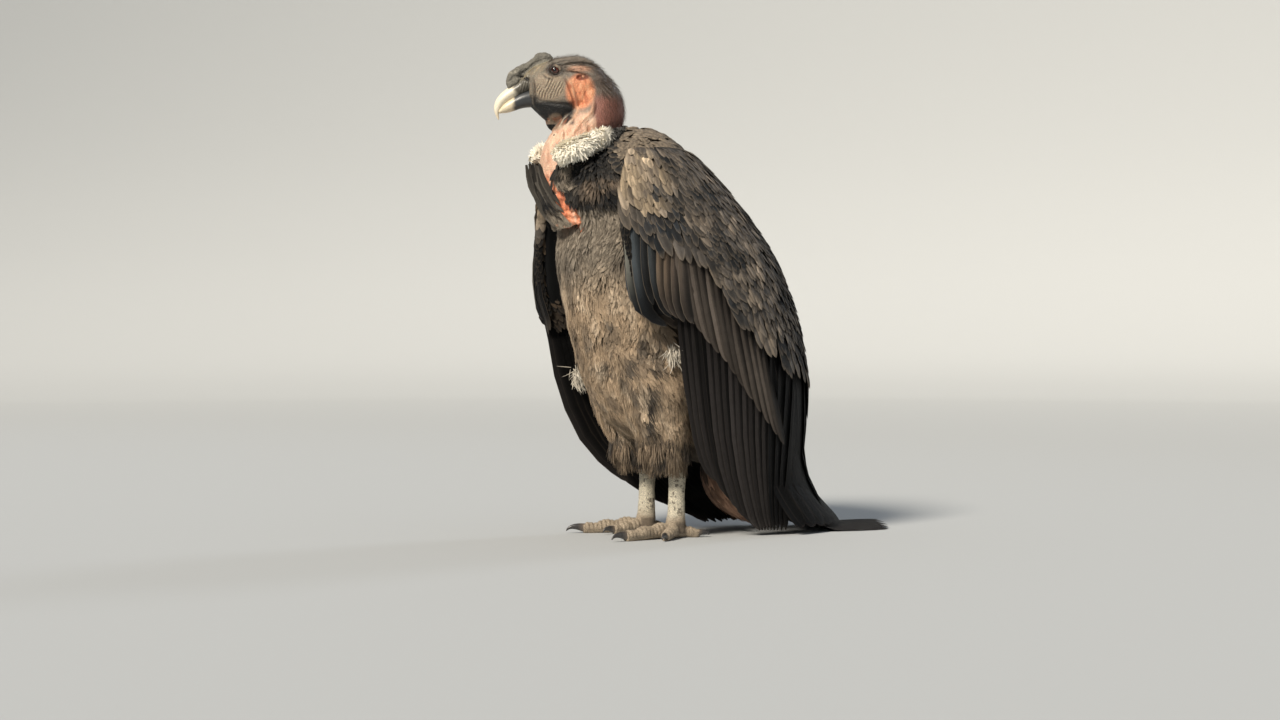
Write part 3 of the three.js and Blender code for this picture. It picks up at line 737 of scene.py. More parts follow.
class ThighSurface(RoundSurface):
    """The outside of a thigh's plumage."""

    def __init__(self, side: Side) -> None:
        """Args:
        side: Which leg.
        """
        self.side = side
        self.table = SmoothTable(THIGH)
        super().__init__(THIGH[-1][0] - 0.5, THIGH[0][0] + 0.5)

    def ring(self, angle: Array, level: Array) -> Array:
        """Places round the thigh at heights."""
        y, wide, deep = np.moveaxis(self.table(level), -1, 0)
        low, high = THIGH[0][0], THIGH[-1][0]
        x = self.side.value * LEG_SPREAD * mix(1, 1.12, (level - low) / (high - low))
        level = np.broadcast_to(level, np.shape(angle))
        return np.stack([x + wide * np.cos(angle), y + deep * np.sin(angle), level], -1)


class NeckSurface(RoundSurface):
    """The bare neck: the rings' parameter runs from 1 inside the head to 0 inside the chest."""

    def __init__(self) -> None:
        """Reads the neck's sections."""
        self.table = path_table(NECK)
        super().__init__(1.0, 0.0)

    def ring(self, angle: Array, level: Array) -> Array:
        """Places round the neck; angle 0 is the bird's left and a quarter turn less is the front."""
        rows = self.table(level)
        ahead = self.table(np.clip(level + 0.01, 0, 1))[..., :3]
        behind = self.table(np.clip(level - 0.01, 0, 1))[..., :3]
        along = unit(ahead - behind)
        side = unit(np.array([1.0, 0, 0]) - along[..., :1] * along)
        back = np.cross(along, side)
        wide, deep = rows[..., 3:4], rows[..., 4:5]
        angle = np.asarray(angle)[..., None]
        return rows[..., :3] + side * wide * np.cos(angle) + back * deep * np.sin(angle)


class WingSurface(Surface):
    """A folded wing: a runs from -1 at the leading edge to 1 at the back, and b is the height."""

    def __init__(self, side: Side) -> None:
        """Args:
        side: Which wing.
        """
        self.side = side
        self.table = SmoothTable(WING_LEFT if side is Side.LEFT else WING_RIGHT)
        self.back_edge = SmoothTable(BACK_EDGE)

    def point(self, a: Array, b: Array) -> Array:
        """Places on the wing."""
        middle, wide, back, edge_x, edge_y = np.moveaxis(self.table(b), -1, 0)
        front = np.minimum(a, 0)
        rear = np.maximum(a, 0) * math.pi / 2
        x = np.where(a < 0, wide - (wide - edge_x) * front**2, wide * np.cos(rear))
        y = np.where(a < 0, middle + (middle - edge_y) * front, middle + back * np.sin(rear))
        b = np.broadcast_to(b, x.shape)
        return np.stack([self.side.value * x, y, b], -1)

    def normal(self, a: Array, b: Array) -> Array:
        """The outward normals."""
        return self.side.value * super().normal(a, b)

    def patch(self, a: Array, b: Array) -> Array:
        """Places on the flat unwrap of the wing."""
        return np.stack([0.02 + 0.48 * (a + 1), np.clip(b / 680, 0, 1)], -1)

    def from_view(self, right: Array, height: Array) -> tuple[Array, Array]:
        """Where lines of the view lie on the wing's outer face.

        Args:
            right: Millimetres to the right in the view.
            height: Millimetres above the floor in the view.

        Returns:
            The wing's two parameters.
        """
        right, height = np.broadcast_arrays(np.asarray(right, float), np.asarray(height, float))
        stops = np.linspace(-1.0, 0.72, 90)
        b = height.copy()
        for _ in range(3):
            across, up = seen(self.point(stops, b[..., None]))
            k = np.clip((across < right[..., None]).sum(-1), 1, len(stops) - 1)[..., None]
            low, high = np.take_along_axis(across, k - 1, -1), np.take_along_axis(across, k, -1)
            share = np.clip((right[..., None] - low) / np.maximum(high - low, 1e-6), 0, 1)
            a = mix(stops[k - 1], stops[k], share)[..., 0]
            shown = mix(np.take_along_axis(up, k - 1, -1), np.take_along_axis(up, k, -1), share)[..., 0]
            b = np.clip(b + height - shown, 1.0, 638.0)
        return a, b


# Feathers


@dataclass(frozen=True)
class VaneShape:
    """The outline of one feather.

    `stations` run from the root at 0 to the tip at 1, with a share of the half width at each. `columns`
    are the points across, `crown` is how far the middle stands over the edges as a share of the half
    width, `shaft` is a ridge in millimetres at the column `shaft_at`, and `ragged` is how far the edges
    may be drawn in at random.
    """

    stations: tuple[float, ...] = (0, 0.35, 0.68, 0.9, 1)
    widths: tuple[float, ...] = (0.35, 0.85, 1, 0.72, 0.2)
    columns: tuple[float, ...] = (-1, 0, 1)
    crown: float = 0.12
    shaft: float = 0.0
    shaft_at: float = 0.0
    ragged: float = 0.0

    @property
    def steps(self) -> Array:
        """The stations as an array."""
        return np.asarray(self.stations, float)


STRAND = VaneShape(stations=(0, 0.5, 1), widths=(1, 0.8, 0.12), crown=0.7)
WOOL = VaneShape(stations=(0, 0.5, 1), widths=(0.9, 1, 0.2), crown=0.25)
DOWN = VaneShape(stations=(0, 0.35, 0.7, 1), widths=(0.8, 1, 0.7, 0.1), crown=0.7)
SOFT = VaneShape(stations=(0, 0.4, 0.75, 1), widths=(0.4, 0.95, 0.9, 0.25), crown=0.15, ragged=0.25)
COVERT = VaneShape(
    stations=(0, 0.3, 0.55, 0.74, 0.87, 0.95, 1),
    widths=(0.4, 0.85, 1, 0.94, 0.72, 0.42, 0.08),
    columns=(-1, -0.55, 0, 0.55, 1),
    crown=0.16,
    ragged=0.2,
)
QUILL = VaneShape(
    stations=(0, 0.2, 0.4, 0.58, 0.74, 0.86, 0.93, 0.975, 1),
    widths=(0.5, 0.82, 0.95, 1, 1, 0.9, 0.72, 0.42, 0.1),
    columns=(-1, -0.6, -0.2, 0.18, 0.28, 0.38, 0.7, 1),
    crown=0.1,
    shaft=0.7,
    shaft_at=0.28,
    ragged=0.05,
)


@dataclass
class Lie:
    """How feathers run: centres, outward and side directions by feather and station, in millimetres."""

    centres: Array
    outs: Array
    sides: Array


def lie_free(centres: Array, facing: Array) -> Lie:
    """Feathers along paths of their own, with their faces turned to a direction."""
    along = unit(np.gradient(centres, axis=1))
    sides = unit(np.cross(along, np.broadcast_to(facing, along.shape)))
    return Lie(centres, np.cross(sides, along), sides)


def lie_along(
    surface: Surface,
    a: Array,
    b: Array,
    shape: VaneShape,
    sink: Array,
    lift: Array,
    curl: Array = 0.0,
    bow: Array = 0.0,
    inner: bool = False,
) -> Lie:
    """Lays feathers over a surface.

    Args:
        surface: What they lie on.
        a: The first parameter by feather and station.
        b: The second one.
        shape: The feathers' outline.
        sink: How deep the roots lie.
        lift: How far the feathers stand off past the root.
        curl: How much further the very tips stand off.
        bow: Sideways bend in millimetres, nothing at both ends.
        inner: Whether they lie on the inner face, which turns them over.

    Returns:
        The feathers' stations.
    """
    t = shape.steps[None]
    outs = surface.normal(a, b)
    heights = (np.asarray(v, float) for v in (sink, lift, curl, bow))
    sink, lift, curl, bow = (np.broadcast_to(v, len(a))[:, None] for v in heights)
    rise = mix(-sink, lift, np.minimum(1, 1.6 * t)) + curl * t**3
    lie = lie_free(surface.point(a, b) + outs * rise[..., None], -outs if inner else outs)
    lie.centres = lie.centres + lie.sides * (bow * np.sin(math.pi * t))[..., None]
    return lie


def lie_on(
    surface: Surface, root: Array, tip: Array, shape: VaneShape, *heights: Array, inner: bool = False
) -> Lie:
    """Lays feathers straight over a surface from roots to tips.

    Args:
        surface: What they lie on.
        root: The roots' two parameters.
        tip: The tips' two parameters.
        shape: The feathers' outline.
        heights: Sink, lift, curl and bow as in `lie_along`.
        inner: Whether they lie on the inner face.

    Returns:
        The feathers' stations.
    """
    t = shape.steps[None]
    a, b = (mix(root[:, i : i + 1], tip[:, i : i + 1], t) for i in (0, 1))
    return lie_along(surface, a, b, shape, *heights, inner=inner)


class Coat:
    """Feathers gathered for one joined mesh."""

    def __init__(self, name: str, seed: int, flip: bool = False) -> None:
        """Args:
        name: The piece's name.
        seed: Seeds what varies.
        flip: Whether each feather is the mirror image of its outline, as on the other wing.
        """
        self.name = name
        self.flip = flip
        self.random = np.random.default_rng(seed)
        self.points: list[Array] = []
        self.loops: list[Array] = []
        self.sizes: list[Array] = []
        self.tones: list[Array] = []
        self.vane_uv: list[Array] = []
        self.bake_uv: list[Array] = []
        self.count = 0

    def add(
        self,
        lie: Lie,
        half: Array,
        shape: VaneShape,
        tones: Array,
        patches: Array,
        tilt: float = 0.0,
        patch_size: Pair = (0.003, 0.003),
    ) -> None:
        """Adds feathers.

        Args:
            lie: Their stations.
            half: Their half widths.
            shape: Their outline.
            tones: A linear colour for each, or one for each of their stations.
            patches: Each root's place on the flat unwrap.
            tilt: How far the edge on the side's direction stands over the middle.
            patch_size: Width and height of each feather's own patch of the unwrap.
        """
        many, stations = lie.centres.shape[:2]
        columns = np.asarray(shape.columns, float)
        across = len(columns)
        half = np.broadcast_to(np.asarray(half, float), many)
        width = half[:, None] * np.asarray(shape.widths)[None]
        edge = 1 - shape.ragged * self.random.random((many, stations, 2))
        edge[:, 0] = 1
        place = np.broadcast_to(columns, (many, stations, across)).copy()
        place[..., 0] *= edge[..., 0]
        place[..., -1] *= edge[..., 1]
        spread = place * width[..., None]
        body = shape.crown * width[..., None] * (1 - columns**2)
        if shape.shaft:
            near = np.exp(-(((columns - shape.shaft_at) / 0.06) ** 2))
            body = body + shape.shaft * near * (1.1 - shape.steps)[None, :, None]
        height = body + tilt * columns * np.asarray(shape.widths)[None, :, None]
        points = (
            lie.centres[:, :, None]
            + (-spread if self.flip else spread)[..., None] * lie.sides[:, :, None]
            + height[..., None] * lie.outs[:, :, None]
        )
        s, k = np.meshgrid(np.arange(stations - 1), np.arange(across), indexing="ij")
        nxt = (k + 1) % across
        first, second = s * across, (s + 1) * across
        quads = np.stack([first + k, first + nxt, second + nxt, second + k], -1).reshape(-1)
        caps = np.concatenate([np.arange(across)[::-1], (stations - 1) * across + np.arange(across)])
        one = np.concatenate([quads, caps])
        if self.flip:
            turned = [part[:, ::-1].ravel() for part in (quads.reshape(-1, 4), caps.reshape(2, across))]
            one = np.concatenate(turned)
        sizes = np.concatenate([np.full(quads.size // 4, 4), np.full(2, across)])
        start = self.count + np.arange(many)[:, None] * stations * across
        self.loops.append((start + one[None]).ravel())
        self.sizes.append(np.tile(sizes, many))
        self.points.append(points.reshape(-1, 3))
        tones = tones if tones.ndim == 3 else np.repeat(tones[:, None], stations, axis=1)
        self.tones.append(np.repeat(tones.reshape(-1, 3), across, axis=0))
        u = np.broadcast_to((columns + 1) / 2, (many, stations, across))
        v = np.broadcast_to(shape.steps[None, :, None], (many, stations, across))
        self.vane_uv.append(np.stack([u, v], -1).reshape(-1, 2))
        offset = np.stack([(u - 0.5) * patch_size[0], (v - 0.5) * patch_size[1]], -1)
        self.bake_uv.append((patches[:, None, None] + offset).reshape(-1, 2))
        self.count += many * stations * across

    def piece(self, sharp: float = 60.0) -> Piece:
        """Builds the joined mesh, with its two UV maps and its tones.

        Args:
            sharp: The angle in degrees past which an edge stays sharp.

        Returns:
            The new object.
        """
        loops = np.concatenate(self.loops)
        points = np.concatenate(self.points)
        points[:, 2] = np.maximum(points[:, 2], FLOOR_GAP)
        obj = new_object(self.name, points, loops, np.concatenate(self.sizes))
        set_tones(obj, np.concatenate(self.tones))
        for name, values in (("Vane", self.vane_uv), ("OFBake", self.bake_uv)):
            layer = obj.data.uv_layers.new(name=name)
            layer.uv.foreach_set("vector", np.concatenate(values)[loops].ravel())
        smooth_by_angle(obj, sharp)
        return obj


# Finishes


class Nodes:
    """Short ways to add and join shader nodes of one material."""

    def __init__(self, name: str) -> None:
        """Args:
        name: The material's name.
        """
        self.material = bpy.data.materials.new(name)
        self.material.use_nodes = True
        self.tree = self.material.node_tree
        self.shader = self.tree.nodes["Principled BSDF"]

    def add(self, kind: str, **inputs: object) -> bpy.types.Node:
        """Adds a node.

        Args:
            kind: The node's type without its prefix.
            inputs: Values or sockets by input name with spaces as underscores, or properties.

        Returns:
            The new node.
        """
        node = self.tree.nodes.new("ShaderNode" + kind)
        for key, value in inputs.items():
            socket = node.inputs.get(key.replace("_", " "))
            if socket is None and hasattr(node, key):
                setattr(node, key, value)
            else:
                self.put(value, socket)
        return node

    def put(self, value: object, socket: Socket) -> None:
        """Joins another socket to a socket, or gives it a value."""
        if isinstance(value, Socket):
            self.tree.links.new(value, socket)
        else:
            socket.default_value = value

    def math(self, operation: str, *values: object) -> Socket:
        """A Math node's result for numbers or sockets."""
        node = self.add("Math", operation=operation)
        for value, socket in zip(values, node.inputs):
            self.put(value, socket)
        return node.outputs[0]

    def times(self, a: object, b: object) -> Socket:
        """The product of two numbers or sockets."""
        return self.math("MULTIPLY", a, b)

    def affine(self, value: Socket, gain: float, base: object) -> Socket:
        """A value times `gain`, plus `base`."""
        return self.math("MULTIPLY_ADD", value, gain, base)

    def vector(self, operation: str, *values: object) -> bpy.types.bpy_prop_collection:
        """A Vector Math node's outputs for vectors or sockets."""
        node = self.add("VectorMath", operation=operation)
        for value, socket in zip(values, node.inputs):
            self.put(value, socket)
        return node.outputs

    def step(self, value: Socket, low: float, high: float) -> Socket:
        """A soft step from 0 at `low` to 1 at `high`."""
        first, last = (1.0, 0.0) if low > high else (0.0, 1.0)
        ends = {"From_Min": min(low, high), "From_Max": max(low, high), "To_Min": first, "To_Max": last}
        return self.add("MapRange", interpolation_type="SMOOTHSTEP", Value=value, **ends).outputs["Result"]

    def blend(self, factor: object, a: object, b: object, mode: str = "MIX") -> Socket:
        """A colour between `a` and `b`, each a colour or a socket."""
        node = self.add("Mix", data_type="RGBA", blend_type=mode, clamp_factor=True)
        for value, socket in zip((factor, a, b), (node.inputs[0], node.inputs[6], node.inputs[7])):
            self.put(value, socket)
        return node.outputs[2]

    def lit(self, colour: Socket, light: Socket) -> Socket:
        """A colour made lighter or darker by a factor."""
        grey = self.add("CombineColor", Red=light, Green=light, Blue=light).outputs[0]
        return self.blend(1.0, colour, grey, "MULTIPLY")

    def tone(self) -> Socket:
        """The piece's own painted tone."""
        return self.add("Attribute", attribute_name="Tone").outputs["Color"]

    def objects(self) -> Socket:
        """Places in the piece's own coordinates."""
        return self.add("TexCoord").outputs["Object"]

    def noise(self, scale: float, detail: float = 3.0, vector: Socket | None = None) -> Socket:
        """Noise of 0 to 1 with a scale per metre."""
        where = vector or self.objects()
        return self.add("TexNoise", Vector=where, Scale=scale, Detail=detail).outputs[0]

    def seams(self, scale: float) -> Socket:
        """How far places lie from the seams of a net of cells with a scale per metre."""
        net = self.add("TexVoronoi", Vector=self.objects(), Scale=scale, feature="DISTANCE_TO_EDGE")
        return net.outputs[0]

    def bump(self, height: Socket, distance: float) -> None:
        """Gives the shader a bump of that height in metres, over one that it has already."""
        node = self.add("Bump", Height=height, Distance=distance, Strength=1.0)
        normal = self.shader.inputs["Normal"]
        if normal.links:
            self.put(normal.links[0].from_socket, node.inputs["Normal"])
        self.put(node.outputs[0], normal)

    def done(self, colour: object, **values: object) -> Finish:
        """Gives the shader its colour and other inputs, with underscores for spaces in their names.

        Args:
            colour: The base colour or its socket.
            values: Values or sockets by input name.

        Returns:
            The finished material.
        """
        for name, value in {"Base_Color": colour, **values}.items():
            self.put(value, self.shader.inputs[name.replace("_", " ")])
        return self.material


@dataclass(frozen=True)
class Plumage:
    """Feathers: each one's own tone, darker at the root by painted shade, with pale edges, a shaft and fine
    barbs; slope paints shade towards a vane's covered edge and light towards its exposed edge.
    """

    name: str
    fringe: Rgb = (176, 158, 136)
    fringe_strength: float = 0.5
    tip_start: float = 0.8
    root_shade: float = 0.45
    shaft: Rgb = (120, 104, 88)
    shaft_at: float = 0.5
    shaft_strength: float = 0.0
    edge_line: float = 0.0
    edge_from: float = 0.9
    centre_dark: float = 0.0
    barbs: float = 60.0
    barb_depth: float = 0.0004
    roughness: float = 0.8
    specular: float = 0.2
    sheen: float = 0.04
    blotch: float = 0.25
    streaks: float = 0.0
    # slope: painted shade at the vane's covered edge and painted light at its exposed edge
    slope: float = 0.0

    def material(self) -> Finish:
        """Returns:
        The node material.
        """
        n = Nodes(self.name)
        parts = n.add("SeparateXYZ", Vector=n.add("UVMap", uv_map="Vane").outputs["UV"]).outputs
        u, v = parts[0], parts[1]
        from_middle = n.math("ABSOLUTE", n.math("SUBTRACT", u, 0.5))
        speckle, broad = n.noise(420.0, 2.0), n.noise(95.0, 2.0)
        colour = n.lit(n.tone(), n.affine(n.step(v, 0.05, 0.55), 1.0 - self.root_shade, self.root_shade))
        # Painted shade towards the vane's covered edge and painted light towards its exposed edge.
        if self.slope:
            colour = n.lit(colour, n.affine(n.step(u, 0.15, 0.95), 2.0 * self.slope, 1.0 - self.slope))
        colour = n.lit(colour, n.affine(n.math("ADD", speckle, broad), self.blotch, 1.0 - self.blotch))
        side_edge = n.times(n.step(n.affine(speckle, 0.08, from_middle), 0.4, 0.53), n.step(v, 0.3, 0.7))
        tip = n.step(n.affine(speckle, 0.06, v), self.tip_start, 1.04)
        pale = n.times(n.math("MAXIMUM", side_edge, tip), self.fringe_strength)
        colour = n.blend(pale, colour, rgba(self.fringe))
        off = n.math("ABSOLUTE", n.math("SUBTRACT", u, self.shaft_at))
        if self.centre_dark:
            near = n.times(n.step(off, 0.3, 0.04), self.centre_dark)
            colour = n.blend(near, colour, (0.25, 0.25, 0.27, 1.0), "MULTIPLY")
        if self.shaft_strength:
            line = n.times(n.step(off, 0.035, 0.012), self.shaft_strength)
            colour = n.blend(line, colour, rgba(self.shaft))
        if self.edge_line:
            edge = n.step(u, self.edge_from, self.edge_from + 0.05)
            colour = n.blend(n.times(edge, self.edge_line), colour, rgba(self.fringe))
        if self.streaks:
            drawn_out = n.vector("MULTIPLY", n.objects(), (1.0, 1.0, 0.13))[0]
            hairs = n.step(n.noise(620.0, 2.0, drawn_out), 0.34, 0.66)
            colour = n.lit(colour, n.affine(hairs, self.streaks, 1.0 - 0.6 * self.streaks))
        slant = n.math("SUBTRACT", n.times(v, self.barbs), n.times(from_middle, self.barbs * 0.35))
        wave = n.math("SINE", n.times(slant, 2 * math.pi))
        n.bump(n.affine(wave, 0.35, n.times(speckle, 0.8)), self.barb_depth)
        return n.done(
            colour,
            Roughness=self.roughness,
            Specular_IOR_Level=self.specular,
            Sheen_Weight=self.sheen,
            Sheen_Roughness=0.5,
        )


@dataclass(frozen=True)
class Hide:
    """Bare skin with its painted tone, pores and fine wrinkles."""

    name: str
    roughness: float = 0.55
    pore: float = 900.0
    wrinkle: float = 260.0
    depth: float = 0.0006
    subsurface: float = 0.12

    def material(self) -> Finish:
        """Returns:
        The node material.
        """
        n = Nodes(self.name)
        wrinkles = n.seams(self.wrinkle)
        pores, blotch = n.noise(self.pore), n.noise(140.0)
        shade = n.affine(n.step(wrinkles, 0.0, 0.12), 0.22, 0.78)
        n.bump(n.affine(n.step(wrinkles, 0.0, 0.25), 0.7, n.times(pores, 0.4)), self.depth)
        return n.done(
            n.lit(n.tone(), n.times(shade, n.affine(blotch, 0.5, 0.75))),
            Roughness=n.affine(pores, 0.25, self.roughness - 0.12),
            Subsurface_Weight=self.subsurface,
            Subsurface_Radius=(0.004, 0.0015, 0.001),
            Subsurface_Scale=1.0,
        )


@dataclass(frozen=True)
class Horn:
    """Bill or claw horn: painted tone with faint growth lines and a soft gloss."""

    name: str
    roughness: float = 0.38
    depth: float = 0.0002
    coat: float = 0.15

    def material(self) -> Finish:
        """Returns:
        The node material.
        """
        n = Nodes(self.name)
        grain, fine = n.noise(330.0, 4.0), n.noise(1500.0, 2.0)
        n.bump(n.affine(fine, 0.4, grain), self.depth)
        return n.done(
            n.lit(n.tone(), n.affine(grain, 0.4, 0.8)),
            Roughness=n.affine(grain, 0.3, self.roughness - 0.15),
            Coat_Weight=self.coat,
            Coat_Roughness=0.3,
        )


@dataclass(frozen=True)
class CombSkin:
    """The comb's rough, pitted, fleshy skin."""

    name: str = "comb_skin"

    def material(self) -> Finish:
        """Returns:
        The node material.
        """
        n = Nodes(self.name)
        cells = n.add("TexVoronoi", Vector=n.objects(), Scale=420.0).outputs[0]
        fine = n.noise(1100.0)
        n.bump(n.affine(fine, 0.6, cells), 0.0009)
        return n.done(n.lit(n.tone(), n.affine(n.math("ADD", cells, fine), 0.55, 0.5)), Roughness=0.72)


@dataclass(frozen=True)
class Scales:
    """Legs and toes: small raised scales with darker seams and speckles."""

    name: str = "scaly_skin"
    scale: float = 420.0

    def material(self) -> Finish:
        """Returns:
        The node material.
        """
        n = Nodes(self.name)
        seams = n.step(n.seams(self.scale), 0.02, 0.2)
        dirt = n.times(n.step(n.noise(700.0, 4.0), 0.56, 0.66), 0.65)
        n.bump(seams, 0.0007)
        n.bump(n.noise(1600.0, 2.0), 0.0002)
        colour = n.blend(dirt, n.lit(n.tone(), n.affine(seams, 0.35, 0.65)), rgba((74, 64, 52)))
        return n.done(colour, Roughness=0.62)


@dataclass(frozen=True)
class EyeGloss:
    """A dark red-brown iris round a black pupil, under a wet clear coat."""

    name: str
    centre: Triple
    aim: Triple
    pupil: float = 0.0034
    iris: float = 0.0066

    def material(self) -> Finish:
        """Returns:
        The node material.
        """
        n = Nodes(self.name)
        away = n.vector("SUBTRACT", n.objects(), self.centre)[0]
        off = n.vector("LENGTH", n.vector("CROSS_PRODUCT", away, self.aim)[0])["Value"]
        iris = n.blend(n.noise(2500.0, 2.0), rgba((58, 22, 14)), rgba((112, 48, 28)))
        colour = n.blend(n.step(off, self.pupil * 0.9, self.pupil), rgba((4, 4, 5)), iris)
        colour = n.blend(n.step(off, self.iris * 0.94, self.iris), colour, rgba((26, 16, 14)))
        return n.done(colour, Roughness=0.12, Coat_Weight=1.0, Coat_Roughness=0.02)


# Wings


class WingTone(Enum):
    """Feather colours of the wing as seen on a screen."""

    TAN = (200, 178, 148)
    PALE = (150, 136, 120)
    MIDDLE = (98, 92, 86)
    DARK = (38, 41, 44)
    SLATE = (46, 54, 62)
    GREATER = (72, 65, 59)
    FLIGHT = (40, 37, 36)
    LINING = (104, 88, 72)
    BLACK = (9, 10, 12)


# Lines of feather tips in the view: right, height
MEDIAN_TIPS = [
    *((-57, 500), (-40, 503), (-20, 497), (-2, 478), (16, 467)),
    *((34, 466), (60, 460), (92, 448), (104, 418)),
]
MEDIAN_TIPS += [(120, 390), (140, 355), (160, 332), (180, 308), (200, 289), (225, 262), (240, 250)]
GREATER_TIPS = [(64, 355), (78, 340), (91, 322), (104, 306), (118, 291), (132, 270), (146, 249), (160, 228)]
GREATER_TIPS += [(173, 207), (187, 187), (200, 168), (211, 152)]
# Flight feathers in the view: right at heights 300, 200 and 120, then right and height of the tip
FLIGHT_LINES = [
    (50, 64, 83, 101, 92),
    (60, 72, 90, 112, 86),
    (71, 82, 98, 122, 62),
    (82, 92, 106, 131, 47),
    (94, 102, 114, 140, 33),
    (105, 112, 123, 150, 18),
    (116, 122, 132, 158, 9),
    (127, 132, 141, 165, 8),
    (138, 142, 149, 171, 8),
    (149, 152, 157, 177, 8),
    (160, 162, 166, 182, 8),
    (171, 172, 175, 187, 8),
    (183, 183, 184, 192, 8),
    (196, 194, 193, 197, 8),
    (209, 206, 203, 203, 8),
    (222, 218, 213, 209, 8),
    (232, 229, 223, 216, 8),
]


@dataclass(frozen=True)
class Plume:
    """A feather of the wrist in the view: its middle line from root to tip, half width, lift and tones; the
    darker tone at the tip end is partly the feather's own dark and partly painted shade.
    """

    line: tuple[Pair, ...]
    half: float
    lift: float
    tone: Rgb
    end: Rgb = WingTone.BLACK.value


WRIST = (
    Plume(
        ((-44, 530), (-44, 495), (-41, 460), (-38.5, 430), (-34, 405), (-27, 385), (-15, 361)),
        *(9.0, 3.0, (112, 112, 104), (22, 24, 28)),
    ),
    Plume(
        ((-34, 530), (-33, 495), (-29, 460), (-25, 430), (-19, 400), (-12, 374), (-6, 352)),
        *(11.5, 3.6, (66, 72, 76), (10, 12, 15)),
    ),
    Plume(((-20, 525), (-19, 490), (-18, 460), (-15, 430), (-9, 405), (-3, 388)), 6.5, 4.4, (38, 40, 42)),
    Plume(
        ((-7, 520), (-6, 485), (-4, 455), (-1, 430), (4, 408), (11, 390), (18, 378), (26, 368)),
        *(8.5, 4.8, (56, 60, 62)),
    ),
    Plume(
        ((6, 505), (8, 468), (7.5, 440), (9, 420), (13, 402), (20, 386), (29, 371)),
        *(7.0, 5.4, (112, 96, 80), (58, 50, 44)),
    ),
    Plume(
        ((19, 500), (20, 460), (19.5, 430), (22, 402), (29, 380), (37, 366)),
        *(7.0, 5.8, (104, 88, 73), (56, 48, 42)),
    ),
    Plume(
        ((33, 500), (32, 463), (31.5, 430), (33, 400), (39, 376), (47, 360)),
        *(7.5, 6.0, (84, 72, 62), (50, 44, 39)),
    ),
    Plume(
        ((47, 500), (46, 460), (46, 430), (48, 400), (53, 376), (60, 357)),
        *(9.5, 5.4, (80, 70, 61), (54, 47, 41)),
    ),
)


@dataclass(frozen=True)
class HandPlume:
    """A black feather of the far wing's hand: place round the rim, heights of root and tip, half width."""

    turn: float
    root: float
    tip: float
    half: float


HAND = (
    HandPlume(0.25, 512, 372, 6.0),
    HandPlume(0.65, 498, 352, 6.5),
    HandPlume(1.1, 486, 338, 6.5),
    HandPlume(1.6, 476, 330, 6.0),
    HandPlume(2.1, 468, 336, 6.0),
)


class WingRim(Surface):
    """The rounded leading edge: a turns from the outer face at 0 to the inner one at half a turn."""

    STEP_A = 0.05

    def __init__(self, wing: WingSurface, thickness: float) -> None:
        """Args:
        wing: The wing's outer face.
        thickness: How thick the edge is.
        """
        self.wing = wing
        self.radius = thickness / 2

    def axes(self, b: Array) -> tuple[Array, Array, Array]:
        """The edge's points, outward directions and directions ahead."""
        edge = np.full(np.shape(b), -1.0)
        ahead = unit(self.wing.point(edge - 0.02, b) - self.wing.point(edge + 0.02, b))
        return self.wing.point(edge, b), self.wing.normal(edge, b), ahead

    def point(self, a: Array, b: Array) -> Array:
        """Places on the edge."""
        a, b = np.broadcast_arrays(a, b)
        edge, out, ahead = self.axes(b)
        return edge - (out + ahead) * self.radius + self.normal(a, b) * self.radius

    def normal(self, a: Array, b: Array) -> Array:
        """The outward normals."""
        a, b = np.broadcast_arrays(a, b)
        _, out, ahead = self.axes(b)
        return out * np.cos(a)[..., None] + ahead * np.sin(a)[..., None]

    def patch(self, a: Array, b: Array) -> Array:
        """Places on the flat unwrap of the wing, beside its leading edge."""
        return np.stack([0.005 + 0.004 * a, np.clip(b / 680, 0, 1)], -1)


